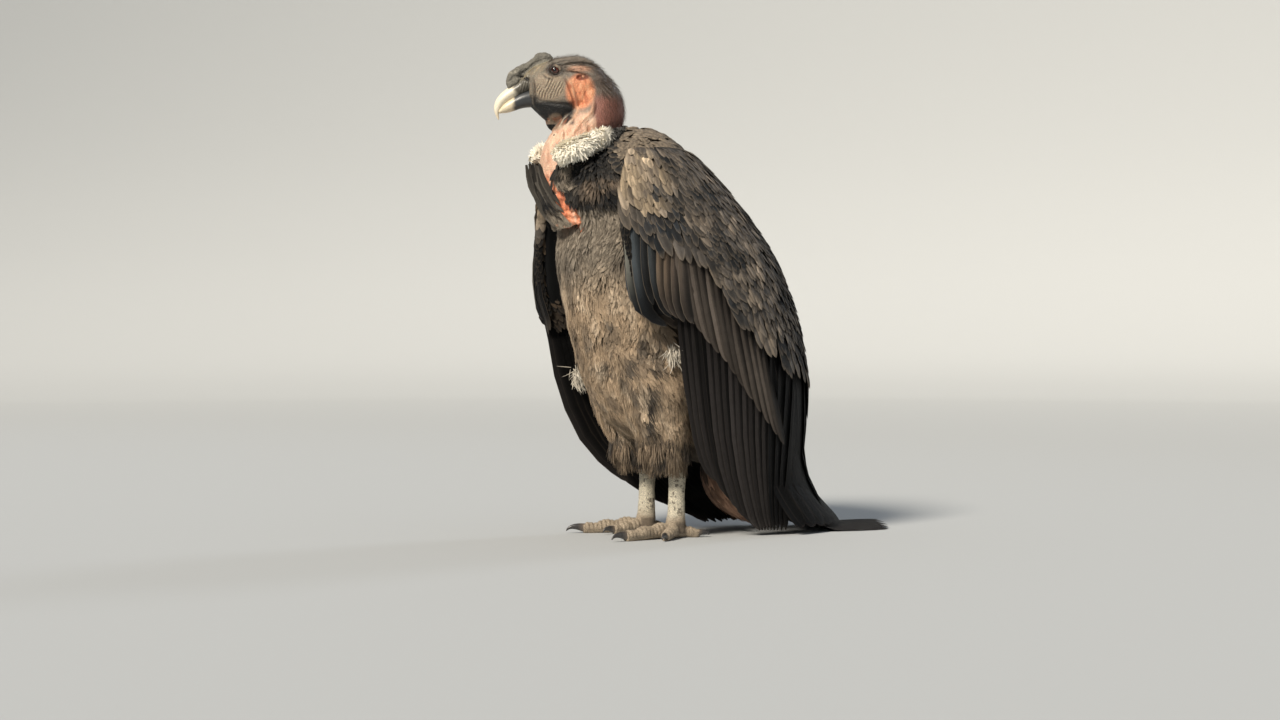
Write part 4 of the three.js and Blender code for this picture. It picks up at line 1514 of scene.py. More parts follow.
@dataclass
class Wing:
    """A folded wing: a shell under coverts in rows, long coverts and flight feathers, and its lining."""

    side: Side
    top: float = 622.0
    row_gap: float = 13.0
    thickness: float = 14.0
    rear_count: int = 9
    surface: WingSurface = field(init=False)
    guide: WingSurface = field(init=False)

    def __post_init__(self) -> None:
        """Makes the wing's surface and the near wing's, in which lines of the view are looked up."""
        self.surface = WingSurface(self.side)
        self.guide = WingSurface(Side.LEFT)
        a, b = self.guide.from_view(*np.array(MEDIAN_TIPS, float).T)
        self.median = np.concatenate([a, [0.8, 1.0]]), np.concatenate([b, [238.0, 230.0]])

    def coat(self, part: str, seed: int) -> Coat:
        """A coat of this wing, mirrored on the right."""
        return Coat(f"wing_{self.side.label}_{part}", seed + self.side.value, self.side is Side.RIGHT)

    def on_left(self, points: Array) -> Array:
        """Places of this wing as they would be on the left one."""
        return points * np.array([self.side.value, 1.0, 1.0])

    def grow(
        self, coat: Coat, a: Array, b: Array, sink: float, lift: float, *bends: Array, **spec: object
    ) -> None:
        """Adds long feathers that lie over the wing.

        Args:
            coat: Takes them.
            a: The wing's first parameter by feather and station.
            b: The second one.
            sink: How deep the roots lie.
            lift: How far the feathers stand off.
            bends: Curl and bow as in `lie_along`.
            spec: Half widths, tones, tilt and patch_size as in `Coat.add`.
        """
        lie = lie_along(self.surface, a, b, QUILL, sink, lift, *bends)
        coat.add(lie, shape=QUILL, patches=self.surface.patch(a[:, 0], b[:, 0]), **spec)

    def spread(self, rise: float, step: float) -> Array:
        """Places at even distances along the line of the middle coverts' tips or one above it.

        Args:
            rise: How far above that line.
            step: Distance between neighbours.

        Returns:
            Places from the leading edge to the back edge.
        """
        a = np.linspace(-0.97, 0.97, 240)
        b = np.interp(a, *self.median) + rise
        points = self.surface.point(a, np.minimum(b, self.top))
        length = run_along(points)
        count = max(3, int(length[-1] / step))
        return np.interp((np.arange(count) + 0.5) / count * length[-1], length, a)

    @staticmethod
    def covert_tone(points: Array) -> Array:
        """The small coverts' colours at places."""
        right, height = seen(points)
        mottle = MOTTLE.layers(points, 34.0)
        fine = MOTTLE(points + 77, 13.0)
        tone = lay(linear(WingTone.DARK), WingTone.MIDDLE, smoothstep(mottle + 0.5 * fine, -0.5, 0.2))
        tone = lay(tone, WingTone.PALE, smoothstep(mottle + 0.8 * fine, 0.2, 0.8))
        tan = lay(linear(WingTone.PALE), WingTone.TAN, smoothstep(fine, -0.5, 0.3))
        tan = lay(tan, WingTone.SLATE, 0.85 * smoothstep(mottle, 0.22, 0.4))
        tone = mix(tone, tan, oval(right, height, (-22, 572), (52, 66), 0.5)[..., None])
        behind = oval(right, height, (48, 505), (13, 32))
        before = oval(right, height, (2, 500), (34, 20), -0.5)
        slate = 0.75 * np.maximum(behind, before)
        return mix(tone, linear(WingTone.SLATE) * 0.7, slate[..., None])

    def coverts(self) -> Piece:
        """Returns:
        The small and middle coverts, in rows above the line of the middle ones' tips.
        """
        coat = self.coat("coverts", 100)
        rise, row = 0.0, 0
        while rise < 400:
            gap = (24.0, 19.0, 15.0)[row] if row < 3 else self.row_gap
            usual = (9.2, 8.4, 7.4)[row] if row < 3 else 6.6
            a = self.spread(rise, 1.62 * usual)
            count = len(a)
            a = a + coat.random.uniform(-0.5, 0.5, count) * 0.02
            low = np.interp(a, *self.median) + rise + coat.random.uniform(-0.35, 0.35, count) * gap
            kept = low < self.top - 6
            a, low, count = a[kept], low[kept], int(kept.sum())
            high = np.minimum(low + 12 + 2.1 * gap * coat.random.uniform(0.85, 1.2, count), self.top + 12)
            lean = mix(0.075, -0.01, smoothstep(a, -0.4, 0.25)) + coat.random.normal(0, 0.02, count)
            limit = self.surface.back_edge(low)[:, 0]
            root = np.stack([np.minimum(a - lean, limit), high], -1)
            tip = np.stack([np.minimum(a, limit + 0.01), low], -1)
            lift = min(3.0 + 0.12 * row, 4.6) + coat.random.uniform(-0.5, 0.7, count)
            curl = coat.random.uniform(0.2, 3.4, count)
            lie = lie_on(self.surface, root, tip, COVERT, 4.0, lift, curl, coat.random.normal(0, 1.3, count))
            tones = self.covert_tone(self.on_left(lie.centres[:, -1]))
            tones = tones * np.exp(coat.random.normal(0, 0.3, (count, 1)))
            half = usual * coat.random.uniform(0.8, 1.2, count)
            coat.add(lie, half, COVERT, tones, self.surface.patch(*root.T), 1.0)
            rise += gap
            row += 1
        return coat.piece()

    def rim(self) -> Piece:
        """Returns:
        The small feathers that wrap the leading edge, and the hand's black ones.
        """
        coat = self.coat("rim", 150)
        rim = WingRim(self.surface, self.thickness)
        low = np.repeat(np.arange(362.0, 612.0, 7.5), 7)
        count = len(low)
        turn = np.tile(np.linspace(0.1, 2.9, 7), count // 7) + coat.random.uniform(-0.2, 0.2, count)
        low = low + coat.random.uniform(-4, 4, count)
        root = np.stack([turn, np.minimum(low + coat.random.uniform(20, 30, count), 632)], -1)
        tip = np.stack([turn - coat.random.uniform(0, 0.3, count), low], -1)
        lie = lie_on(rim, root, tip, COVERT, 2.5, 1.6, coat.random.uniform(0, 2.2, count))
        far = self.side is Side.RIGHT
        tones = self.covert_tone(self.on_left(lie.centres[:, -1]))
        tan = linear(WingTone.TAN) * coat.random.uniform(0.35, 1.0, (count, 1))
        if far:
            tones = mix(tones, tan, 0.8 * smoothstep(low, 500, 540)[:, None])
        tones = lay(tones, WingTone.BLACK, smoothstep(low, *((500, 470) if far else (512, 492))))
        tones = tones * coat.random.uniform(0.7, 1.25, (count, 1))
        coat.add(lie, coat.random.uniform(4.0, 5.5, count), COVERT, tones, rim.patch(*root.T))
        black = linear(WingTone.BLACK if far else WingTone.SLATE) * np.ones((1, 3))
        for plume in HAND if far else HAND[2:]:
            b = mix(plume.root, plume.tip + (0 if far else 14), QUILL.steps)[None]
            a = np.full_like(b, plume.turn)
            lie = lie_along(rim, a, b, QUILL, 1.0, 3.4, 1.0)
            tones = black * coat.random.uniform(0.9, 1.6)
            coat.add(lie, plume.half, QUILL, tones, rim.patch(a[:, 0], b[:, 0]), 0.8, (0.006, 0.02))
        return coat.piece()

    def drawn(self, lines: list[Array], shape: VaneShape) -> tuple[Array, Array]:
        """Paths of feathers drawn in the view.

        Args:
            lines: The middle line of each from root to tip: right, height.
            shape: The feathers' outline.

        Returns:
            The wing's two parameters by feather and station.
        """
        paths = []
        for line in lines:
            points = np.asarray(line, float)
            run = run_along(points)
            paths.append(SmoothTable(np.column_stack([run / run[-1], points]))(shape.steps))
        view = np.array(paths)
        return self.guide.from_view(view[..., 0], view[..., 1])

    def long_coverts(self) -> Piece:
        """Returns:
        The greater coverts.
        """
        coat = self.coat("greater_coverts", 200)
        lines = []
        for right, height in GREATER_TIPS:
            offsets = ((-31, 165), (-20, 95), (-7, 28), (0, 0))
            lines.append([(right + across, height + above) for across, above in offsets])
        a, b = self.drawn(lines, QUILL)
        rear = np.linspace(0.66, 0.95, self.rear_count)
        a = np.concatenate([a, np.repeat(rear[:, None], len(QUILL.stations), 1)])
        fall = np.linspace(400, 190, len(QUILL.stations))
        b = np.concatenate([b, fall[None] + coat.random.uniform(-8, 8, (self.rear_count, 1))])
        count = len(a)
        bow = coat.random.normal(0, 1.2, count)
        tones = linear(WingTone.GREATER) * np.exp(coat.random.normal(0, 0.26, (count, 1)))
        tones[-self.rear_count :] *= 0.3
        self.grow(coat, a, b, 3.5, 1.6, 1.2, bow, half=10.6, tones=tones, tilt=2.2, patch_size=(0.008, 0.03))
        return coat.piece()

    def wrist(self) -> Piece:
        """Returns:
        The smooth slate feathers that hang from the wrist and the narrow bright-edged ones behind them.
        """
        coat = self.coat("wrist", 250)
        for plume in WRIST:
            a, b = self.drawn([plume.line], QUILL)
            # Darker towards the tip: partly the feather's own dark, partly painted shade.
            fade = smoothstep(QUILL.steps, 0.35, 0.85)[None]
            tones = lay(linear(plume.tone), plume.end, fade) * coat.random.uniform(0.92, 1.08)
            spec = {"half": plume.half, "tones": tones, "tilt": 1.7, "patch_size": (0.008, 0.03)}
            self.grow(coat, a, b, 3.0, plume.lift, 0.4, **spec)
        return coat.piece()

    def flight(self) -> Piece:
        """Returns:
        The flight feathers: brown-black ones that hang almost straight, with black ones behind them.
        """
        coat = self.coat("flight", 300)
        if self.side is Side.LEFT:
            lines = []
            for upper, middle, lower, tip, height in FLIGHT_LINES:
                line = [(upper - 10, 385), (upper, 300), (middle, 200), (lower, 120), (tip, height)]
                lines.append(line if height < 100 else line[:3] + line[4:])
            a, b = self.drawn(lines, QUILL)
            usual, light, uneven = 9.6, 1.0, 16
        else:
            start = np.linspace(-0.95, 0.58, 24)[:, None]
            low = np.interp(start, [-1, -0.85, -0.7, -0.55, 1], [92, 52, 26, 12, 9])
            low = np.maximum(low + coat.random.uniform(-3, 3, (24, 1)), FLOOR_CLEARANCE + 3)
            b = mix(385.0, low, QUILL.steps[None])
            a = np.clip(start - 0.12 * smoothstep(b, 110, 0) * smoothstep(start, 0.6, 0.2), -0.97, 0.97)
            # The far wing's flight feathers are painted half as bright: painted shade.
            usual, light, uneven = 12.5, 0.5, 4
        stations = len(QUILL.stations)
        fall = np.linspace(330, 12, stations)[None] + coat.random.uniform(-4, 12, (self.rear_count, 1))
        b = np.concatenate([b, fall])
        rear = np.linspace(0.62, 0.95, self.rear_count)
        a = np.concatenate([a, np.repeat(rear[:, None], stations, 1)])
        count = len(a)
        front = np.arange(count) < count - 13
        tones = np.where(front[:, None], linear(WingTone.FLIGHT), linear(WingTone.BLACK))
        tones = tones * np.exp(coat.random.normal(0, 0.32, (count, 1))) * light
        bow = coat.random.normal(0, 0.8, count)
        half = usual * coat.random.uniform(0.95, 1.08, count)
        spec = {"half": half, "tones": tones, "tilt": 2.1, "patch_size": (0.01, 0.05)}
        self.grow(coat, a, b, 3.0, -1.2, 0.6, bow, **spec)
        a = np.repeat(np.linspace(-0.4, 0.9, 14)[:, None], stations, 1)
        fall = np.linspace(300, FLOOR_CLEARANCE + 6, stations)[None]
        b = fall + coat.random.uniform(0, uneven, (14, 1))
        tones = linear(WingTone.BLACK) * coat.random.uniform(0.8, 1.2, (14, 1))
        self.grow(coat, a, b, 5.0, -4.4, half=18.0, tones=tones, patch_size=(0.01, 0.05))
        self.long_tips(coat)
        return coat.piece()

    def long_tips(self, coat: Coat) -> None:
        """Adds the longest wing feathers, which show only where they pass the others behind the back."""
        count = 6
        t = np.linspace(0, 1, count)
        a = mix(0.1, 0.62, t)
        start = self.surface.point(a, np.full(count, 92.0))
        out = self.surface.normal(a, np.full(count, 92.0))
        start = start - out * (3 + 1.1 * np.arange(count))[:, None]
        inward, down = self.side.value * mix(-0.06, -0.3, t), np.full(count, -0.7)
        aim = unit(np.stack([inward, mix(0.42, 0.7, t), down], -1))
        s = QUILL.steps[None, :, None]
        reach = (112 * mix(0.86, 1.04, t))[:, None, None]
        rise = np.array([0.0, 10.0, 4.0]) * s**2
        lie = lie_free(start[:, None] + aim[:, None] * reach * s + rise, out[:, None])
        tone = linear(WingTone.BLACK) * coat.random.uniform(0.9, 1.8, (count, 1))
        coat.add(lie, 13.0, QUILL, tone, self.surface.patch(a, np.full(count, 60.0)), 1.0, (0.012, 0.05))

    def shell(self) -> Piece:
        """Returns:
        The arm and hand under the feathers, as a closed bent shell.
        """
        rings = []
        for height in np.linspace(362, 628, 34):
            rear = min(0.95, 0.5 + (640 - height) / 300)
            a = np.linspace(-0.93, rear, 34)
            b = np.full_like(a, height)
            point, out = self.surface.point(a, b), self.surface.normal(a, b)
            t = np.linspace(0, 1, len(a))
            round_edge = np.sqrt(np.clip(1 - (1 - np.minimum(t / 0.035, 1)) ** 2, 0.02, 1))
            thick = self.thickness * mix(0.5, 1, float(smoothstep(height, 360, 420))) * mix(1, 0.5, t)
            middle = point - out * (2.5 + thick / 2)[:, None]
            reach = out * (thick / 2 * round_edge)[:, None]
            rings.append(np.concatenate([middle + reach, (middle - reach)[::-1]]))
        obj = loft(f"wing_{self.side.label}_shell", np.array(rings))
        # Painted much darker than the coverts: painted shade where the shell shows between feathers.
        return paint_piece(obj, linear(WingTone.DARK) * 0.4)

    def lining(self) -> Piece:
        """Returns:
        The soft coverts of the wing's inner face: mottled brown in front and black behind.
        """
        coat = self.coat("lining", 400)
        rows = 28
        for i in range(rows):
            s = i / (rows - 1)
            count = 34
            a = (np.arange(count) + coat.random.uniform(0, 1, count)) / count
            a = mix(-0.975, 0.2, a)
            low = mix(592, 315, s) + coat.random.uniform(-7, 7, count) + 24 * smoothstep(a, -0.4, -1)
            high = low + coat.random.uniform(26, 44, count)
            root = np.stack([a, np.minimum(high, 632)], -1)
            end = np.stack([a + coat.random.normal(0.01, 0.03, count), low], -1)
            depth = -(self.thickness * mix(0.95, 0.4, s) + 2.5) * (0.4 + 0.6 * smoothstep(a, -1, -0.93))
            curl = -coat.random.uniform(0, 4.0, count)
            bow = coat.random.normal(0, 1.5, count)
            lie = lie_on(self.surface, root, end, COVERT, -depth - 2, depth, curl, bow, inner=True)
            mottle = MOTTLE.layers(lie.centres[:, -1], 26.0) + coat.random.uniform(-0.4, 0.4, count)
            tones = lay(linear(WingTone.DARK), WingTone.LINING, smoothstep(mottle, -0.3, 0.4))
            black = np.maximum(smoothstep(a, -0.72, -0.5), smoothstep(low, 400, 340) * 0.8)
            tones = mix(tones, linear(WingTone.BLACK) * 1.5, black[:, None])
            half = coat.random.uniform(5.0, 7.4, count)
            coat.add(lie, half, COVERT, tones, self.surface.patch(*root.T), -0.6)
        return coat.piece()

    def build(self, feather: Finish, quill: Finish, edged: Finish, soft: Finish) -> None:
        """Builds and dresses the wing.

        Args:
            feather: The coverts' finish.
            quill: The long feathers' finish.
            edged: The finish of long feathers with a bright edge.
            soft: The finish of the rim's and the inner face's feathers.
        """
        node = f"wing_{self.side.label}"
        finish_piece(self.shell(), feather, "plumage", node)
        finish_piece(self.coverts(), feather, "plumage", node)
        for make, finish in ((self.rim, soft), (self.long_coverts, quill), (self.wrist, edged)):
            finish_piece(make(), finish, "plumage", node)
        finish_piece(self.flight(), quill, "flight", node)
        finish_piece(self.lining(), soft, "plumage", node)


# Tail


@dataclass
class Tail:
    """The tail, bent at floor level and laid flat behind the bird."""

    pairs: int = 6
    half: float = 27.0
    root: float = 15.0
    spread: float = 72.0
    root_y: float = 196.0
    root_z: float = 112.0
    tip_y: float = 428.0
    layer: float = 1.7
    tone: Rgb = (16, 15, 15)
    under_tone: Rgb = (132, 104, 86)

    def feathers(self) -> Piece:
        """Returns:
        The twelve long tail feathers.
        """
        coat = Coat("tail_feathers", 500)
        for i in range(self.pairs):
            for side in Side:
                q = side.value * (i + 0.5) / self.pairs
                low = (self.pairs - 1 - i) * self.layer + (0 if side is Side.LEFT else self.layer / 2)
                path = path_table(
                    [
                        (q * self.root, self.root_y - 14, self.root_z + 14),
                        (q * mix(self.root, self.spread, 0.2), self.root_y + 18, self.root_z - 42),
                        (q * mix(self.root, self.spread, 0.42), self.root_y + 52, 24),
                        (q * mix(self.root, self.spread, 0.66), self.root_y + 112, 1.6),
                        (q * self.spread, self.tip_y - 26 * q * q, 1.2),
                    ]
                )
                fine = path(QUILL.steps)
                along = unit(np.gradient(fine, axis=0))
                out = unit(np.cross(np.array([1.0, 0, 0]), along))
                out = np.where(out[:, 2:] < 0, -out, out)
                centres = fine + out * low
                sides = unit(np.cross(along, out))
                lie = Lie(centres[None], out[None], sides[None])
                tone = linear(self.tone)[None] * coat.random.uniform(0.8, 1.3)
                patch = np.array([[0.5 + 0.45 * q, 0.1]])
                coat.add(lie, self.half, QUILL, tone, patch, 0.0, (0.05, 0.15))
        return coat.piece()

    def under_coverts(self) -> Piece:
        """Returns:
        The soft pinkish-brown feathers that hang under the tail's root.
        """
        coat = Coat("undertail_coverts", 510)
        count = 1100
        q = coat.random.uniform(-1, 1, count)
        depth = coat.random.uniform(0, 1, count)
        path = path_table([(98.0, 134.0), (104.0, 98.0), (126.0, 54.0), (166.0, 16.0)])
        begin = coat.random.uniform(0.0, 0.72, count)
        length = coat.random.uniform(0.16, 0.3, count)
        at = np.clip(begin[:, None] + length[:, None] * SOFT.steps, 0, 1)
        y, z = np.moveaxis(path(at), -1, 0)
        x = q[:, None] * 34 * (0.42 + 0.6 * at)
        bulge = 17 * np.sin(math.pi * at) ** 0.7 * (1 - q[:, None] ** 2) + 3
        low = np.maximum(z - 0.2 * bulge * depth[:, None], 3.0)
        facing = unit(np.stack([q, -np.ones(count), -0.35 * np.ones(count)], -1))[:, None]
        lie = lie_free(np.stack([x, y - bulge * depth[:, None], low], -1), facing)
        shade = np.exp(coat.random.normal(0, 0.3, (count, 1))) * smoothstep(begin, -0.05, 0.35)[:, None]
        shade = shade * mix(0.3, 1.15, smoothstep(MOTTLE(lie.centres[:, -1], 22.0), -0.5, 0.1))[:, None]
        patches = np.stack([0.5 + 0.4 * q, at[:, 0]], -1)
        coat.add(lie, coat.random.uniform(2.2, 4.5, count), SOFT, linear(self.under_tone) * shade, patches)
        return coat.piece()

    def stem(self) -> Piece:
        """Returns:
        The fleshy root of the tail inside its feathers.
        """
        rows = path_table([(150, 150, 24, 27), (178, 132, 31, 23), (200, 104, 26, 13), (214, 86, 18, 7)])
        y, z, wide, high = np.moveaxis(rows(np.linspace(0, 1, 18)), -1, 0)
        centres = np.stack([np.zeros_like(y), y, z], -1)
        side, up = (np.tile(np.array(v), (18, 1)) for v in ((1.0, 0, 0), (0, 0.6, 0.8)))
        obj = loft("tail_root", ovals(centres, side, up, wide, high, high, 32))
        # Painted half as bright as the undertail coverts: painted shade inside the feathers.
        return paint_piece(obj, linear(self.under_tone) * 0.5)

    def build(self, quill: Finish, soft: Finish) -> None:
        """Builds and dresses the tail.

        Args:
            quill: The long feathers' finish.
            soft: The soft feathers' finish.
        """
        finish_piece(self.feathers(), quill, "flight", "tail")
        finish_piece(self.under_coverts(), soft, "plumage", "tail")
        finish_piece(self.stem(), soft, "plumage", "tail")


# Body plumage


class BodyTone(Enum):
    """Colours of the body's plumage as seen on a screen."""

    BREAST = (154, 142, 126)
    BELLY = (188, 164, 136)
    LIGHT = (226, 204, 176)
    # Dark mottling, also used for painted shade in the crease, between the belly's clumps and under the
    # thighs.
    BLOTCH = (76, 70, 64)
    BACK = (70, 66, 62)
    MANTLE = (152, 137, 118)
    CROP = (50, 49, 48)
    CROP_PALE = (150, 138, 122)
    CROP_WARM = (126, 110, 94)
    CROP_DARK = (20, 23, 27)
    PLUME = (80, 76, 70)


def body_tone(points: Array) -> Array:
    """The markings of torso and thighs at points, for skin and feathers alike, with painted shade in the
    crease, between the belly's clumps, under the thighs, under the ruff and under the crop's rim, and
    painted light on the crop's brown middle.

    Args:
        points: Places in millimetres.

    Returns:
        Linear colours.
    """
    right, height = seen(np.stack([np.abs(points[..., 0]), points[..., 1], points[..., 2]], -1))
    y, z = points[..., 1], points[..., 2]
    broad = MOTTLE.layers(points, 60.0)
    fine = MOTTLE.layers(points + 500, 24.0)
    small = MOTTLE.layers(points + 900, 11.0, 2)
    wisps = MOTTLE(points + 40, (24.0, 24.0, 52.0))
    tone = np.broadcast_to(linear(BodyTone.BREAST), points.shape)
    light = 0.75 * smoothstep(fine + 0.5 * small, 0.15, 0.6) * smoothstep(z, 470, 380)
    # Dark belly blotches: partly the plumage's own mottling, partly painted shade between the fluffy clumps.
    blotch = smoothstep(fine + 0.35 * broad, 0.12, 0.4) * smoothstep(z, 400, 330) * smoothstep(y, 60, -30)
    # Painted shade in the crease down the front between the thighs.
    crease = oval(right, height, (-3 + 0.1 * (z - 190), 192), (7, 44), 0.05) * smoothstep(y, 20, -20)
    crop = smoothstep(z + 3 * fine, 519, 529)
    # rim: where painted shadow falls under the crop's lower rim and beside the near wing's front edge.
    rim = np.maximum(smoothstep(z, 545, 530), oval(right, height, (-66, 548), (18, 24)))
    mantle = smoothstep(right + 6 * fine, -68, -56) * smoothstep(z, 596, 612) * smoothstep(y, 30, -20)
    for colour, weight in (
        (BodyTone.BELLY, smoothstep(z + 30 * broad, 440, 350)),
        (BodyTone.LIGHT, light),
        (BodyTone.BLOTCH, 0.75 * blotch + 0.15 * smoothstep(-small, 0.2, 0.6)),
        (BodyTone.BLOTCH, 0.5 * smoothstep(wisps, 0.1, 0.55) * smoothstep(z, 540, 500)),
        (BodyTone.LIGHT, 0.6 * smoothstep(-wisps, 0.15, 0.6) * smoothstep(z, 500, 400)),
        # painted shade in the crease
        (BodyTone.BLOTCH, crease),
        (BodyTone.BACK, smoothstep(y + 20 * broad, 30, 100)),
        # darker at the bottom: the thigh feathers' own dark tips and painted shade underneath
        (BodyTone.BLOTCH, 0.9 * smoothstep(z + 14 * fine, 158, 128)),
        (BodyTone.CROP, crop),
    ):
        tone = lay(tone, colour, weight)
    for colour, strength, centre, reach, turn, uneven in (
        (BodyTone.CROP_PALE, 1.0, (-152, 578), (16, 34), 0.25, smoothstep(small, -0.4, 0.3)),
        (BodyTone.CROP_PALE, 1.0, (-140, 612), (34, 14), 0.35, smoothstep(small, -0.1, 0.4)),
        # painted shade under the ruff
        (BodyTone.CROP_DARK, 1.0, (-106, 612), (34, 15), 0.5, smoothstep(-small, -0.5, 0.2)),
        (BodyTone.CROP_DARK, 0.8, (-128, 590), (18, 14), 0.0, 1.0),
        # brown feathers in the crop's middle, brightened with painted light
        (BodyTone.CROP_WARM, 1.0, (-88, 572), (40, 15), 0.1, smoothstep(small, -0.6, 0.1)),
        (BodyTone.CROP_WARM, 0.7, (-106, 550), (26, 10), 0.0, 1.0),
    ):
        tone = lay(tone, colour, strength * crop * oval(right, height, centre, reach, turn) * uneven)
    # Painted shadow along the crop's lower rim, then the mantle's colour.
    return lay(lay(tone, BodyTone.CROP_DARK, crop * rim * 0.85), BodyTone.MANTLE, mantle)


# Height, left edge and right edge of the bare stripe in the view
STRIPE_EDGES = (
    *((505, -128, -128), (512, -131, -124), (520, -139, -121), (530, -152, -124), (540, -160, -132)),
    *((550, -166, -145), (560, -172, -158), (570, -177, -166), (580, -181, -171), (590, -184, -171)),
    *((600, -187, -169), (610, -189, -165), (622, -192, -158), (640, -260, -150)),
)


def bare_stripe(points: Array) -> Array:
    """Whether points lie on the bare stripe that runs down from the neck between the crop's plumage."""
    right, height = seen(points)
    stops, left, edge = np.transpose(STRIPE_EDGES)
    left, edge = np.interp(height, stops, left), np.interp(height, stops, edge)
    return (right > left) & (right < edge) & (points[..., 0] > -30) & (points[..., 1] < -60)


def beside_stripe(points: Array) -> Array:
    """Whether a feather rooted at points and hanging down leaves the bare stripe free."""
    low = np.array([0.0, 0.0, -1.0])
    return ~(bare_stripe(points) | bare_stripe(points + 9 * low) | bare_stripe(points + 17 * low))


@dataclass
class BodyCoat:
    """The small feathers of torso and thighs: narrow soft vanes with fine strands over them.

    Attributes:
        coat_depth: How deep the skin lies under the coat's outside.
        vane: The vanes' length and half width, and their distance in a row and between rows.
        strand_half: The strands' half width.
        strand_step: The strands' distance.
        clump: The size of the tufts that feathers gather in.
        first_row: Length from the top at which the rows begin.
    """

    coat_depth: float = 9.0
    vane: tuple[float, ...] = (25.0, 3.4, 6.0, 7.0)
    strand_half: float = 0.75
    strand_step: float = 3.7
    clump: float = 17.0

    first_row: float = 4.0

    def roots(self, coat: Coat, surface: RoundSurface, step: float, row: float) -> tuple[Array, Array]:
        """Root places in even rows over a round surface.

        Args:
            coat: Gives the random draws.
            surface: What the feathers lie on.
            step: Distance between neighbours in a row.
            row: Distance between rows.

        Returns:
            Angles and lengths.
        """
        angles, lengths = [], []
        for i, b in enumerate(np.arange(self.first_row, surface.length[-1] - 4, row)):
            ring = surface.point(np.linspace(0, 2 * math.pi, 49), np.full(49, b))
            around = np.linalg.norm(np.diff(ring, axis=0), axis=1).sum()
            count = max(8, int(around / step))
            angles.append((np.arange(count) + 0.5 * (i % 2)) / count * 2 * math.pi)
            lengths.append(np.full(count, b))
        a, b = np.concatenate(angles), np.concatenate(lengths)
        a = a + coat.random.uniform(-0.45, 0.45, len(a)) * step / 120
        return a, b + coat.random.uniform(-0.5, 0.5, len(b)) * row

    def layer(
        self,
        coat: Coat,
        surface: RoundSurface,
        shape: VaneShape,
        length: float,
        half: float,
        step: float,
        row: float,
        keep: Callable[[Array], Array],
        lift: float,
        fluff: float = 2.0,
        lowest: float = 3.0,
    ) -> None:
        """Adds one layer of feathers to a round surface.

        Args:
            coat: Takes the feathers.
            surface: What they lie on.
            shape: Their outline.
            length: Their usual length.
            half: Their usual half width.
            step: Distance between neighbours.
            row: Distance between rows.
            keep: Says which roots are kept, by place.
            lift: How far the tips stand off the coat's outside.
            fluff: How unevenly the tips stand off.
            lowest: The lowest height that they reach.
        """
        a, b = self.roots(coat, surface, step, row)
        places = surface.point(a, b)
        chosen = keep(places)
        a, b, places = a[chosen], b[chosen], places[chosen]
        count = len(a)
        run = length * coat.random.uniform(0.7, 1.3, count)
        ring = np.linalg.norm(surface.point(a + 0.01, b) - places, axis=1) / 0.01
        turn = coat.random.normal(0, 0.16, count) + 0.4 * NOISE(places, 55.0)
        turn = turn + 0.6 * NOISE(places + 200, self.clump)
        root = np.stack([a, b], -1)
        tip = np.stack([a + run * np.sin(turn) / np.maximum(ring, 20), b + run * np.cos(turn)], -1)
        swell = fluff * NOISE(places + 300, self.clump * 1.3)
        crop = smoothstep(places[:, 2], 525, 552) * smoothstep(places[:, 2], 650, 610)
        curl = coat.random.uniform(-0.4, 0.6, count) * fluff + swell
        right, height = seen(places)
        stand = lift + swell + 5.5 * crop * smoothstep(places[:, 1], -40, -80)
        crease = 6.0 * oval(right, height, (-3, 195), (12, 48), 0.05) * smoothstep(places[:, 1], 20, -20)
        stand = stand - crease
        bow = coat.random.normal(0, 1.2, count)
        lie = lie_on(surface, root, tip, shape, self.coat_depth - 1.5, stand, curl, bow)
        lie.centres[..., 2] = np.maximum(lie.centres[..., 2], lowest)
        tones = body_tone(lie.centres[:, -1]) * np.exp(coat.random.normal(0, 0.13, (count, 1)))
        coat.add(lie, half * coat.random.uniform(0.7, 1.3, count), shape, tones, surface.patch(a, b))

    @staticmethod
    def torso_shown(points: Array) -> Array:
        """Whether a root on the torso is outside what the folded wings always hide, and not on bare skin."""
        y, z = points[..., 1], points[..., 2]
        front = y < mix(-60, 40, smoothstep(z, 420, 180))
        return (front | (z > 470) | (z < 200)) & beside_stripe(points)

    def build_torso(self, soft: Finish, feather: Finish) -> None:
        """Builds the torso's feathers.

        Args:
            soft: The small ones' finish.
            feather: The mantle's finish.
        """
        torso = TorsoSurface()
        low = Coat("torso_feathers", 600)
        self.layer(low, torso, SOFT, *self.vane, self.torso_shown, -1.5)
        finish_piece(low.piece(), soft, "plumage", "torso")

        def mantle(points: Array) -> Array:
            """Whether a root belongs to the scalloped feathers behind the neck."""
            return (points[..., 2] > 596) & (seen(points)[0] > -66)

        top = Coat("mantle_feathers", 605)
        self.layer(top, torso, COVERT, 26.0, 7.6, 8.0, 5.5, mantle, 4.5, 1.4)
        finish_piece(top.piece(), feather, "plumage", "torso")
        for part, side in (("left", 1), ("right", -1)):

            def half(points: Array) -> Array:
                """Whether a root is on this side and shown."""
                return self.torso_shown(points) & (points[..., 0] * side >= 0)

            fine = Coat(f"torso_fluff_{part}", 610 + side)
            step = self.strand_step
            self.layer(fine, torso, STRAND, 23.0, self.strand_half, step, step * 1.1, half, 0.2, 1.6)
            finish_piece(fine.piece(), soft, "plumage", "torso")
        self.crop(soft)

    def crop(self, soft: Finish) -> None:
        """Builds the crop's fuzz over the foot of the neck, and the pointed feathers on its far side.

        Args:
            soft: Their finish.
        """

        def covered(points: Array) -> Array:
            """Whether a root on the neck is under fuzz."""
            right, height = seen(points)
            top = np.interp(right, [-200, -168, -150, -100, -60], [596, 616, 622, 645, 655])
            return (height < top) & beside_stripe(points)

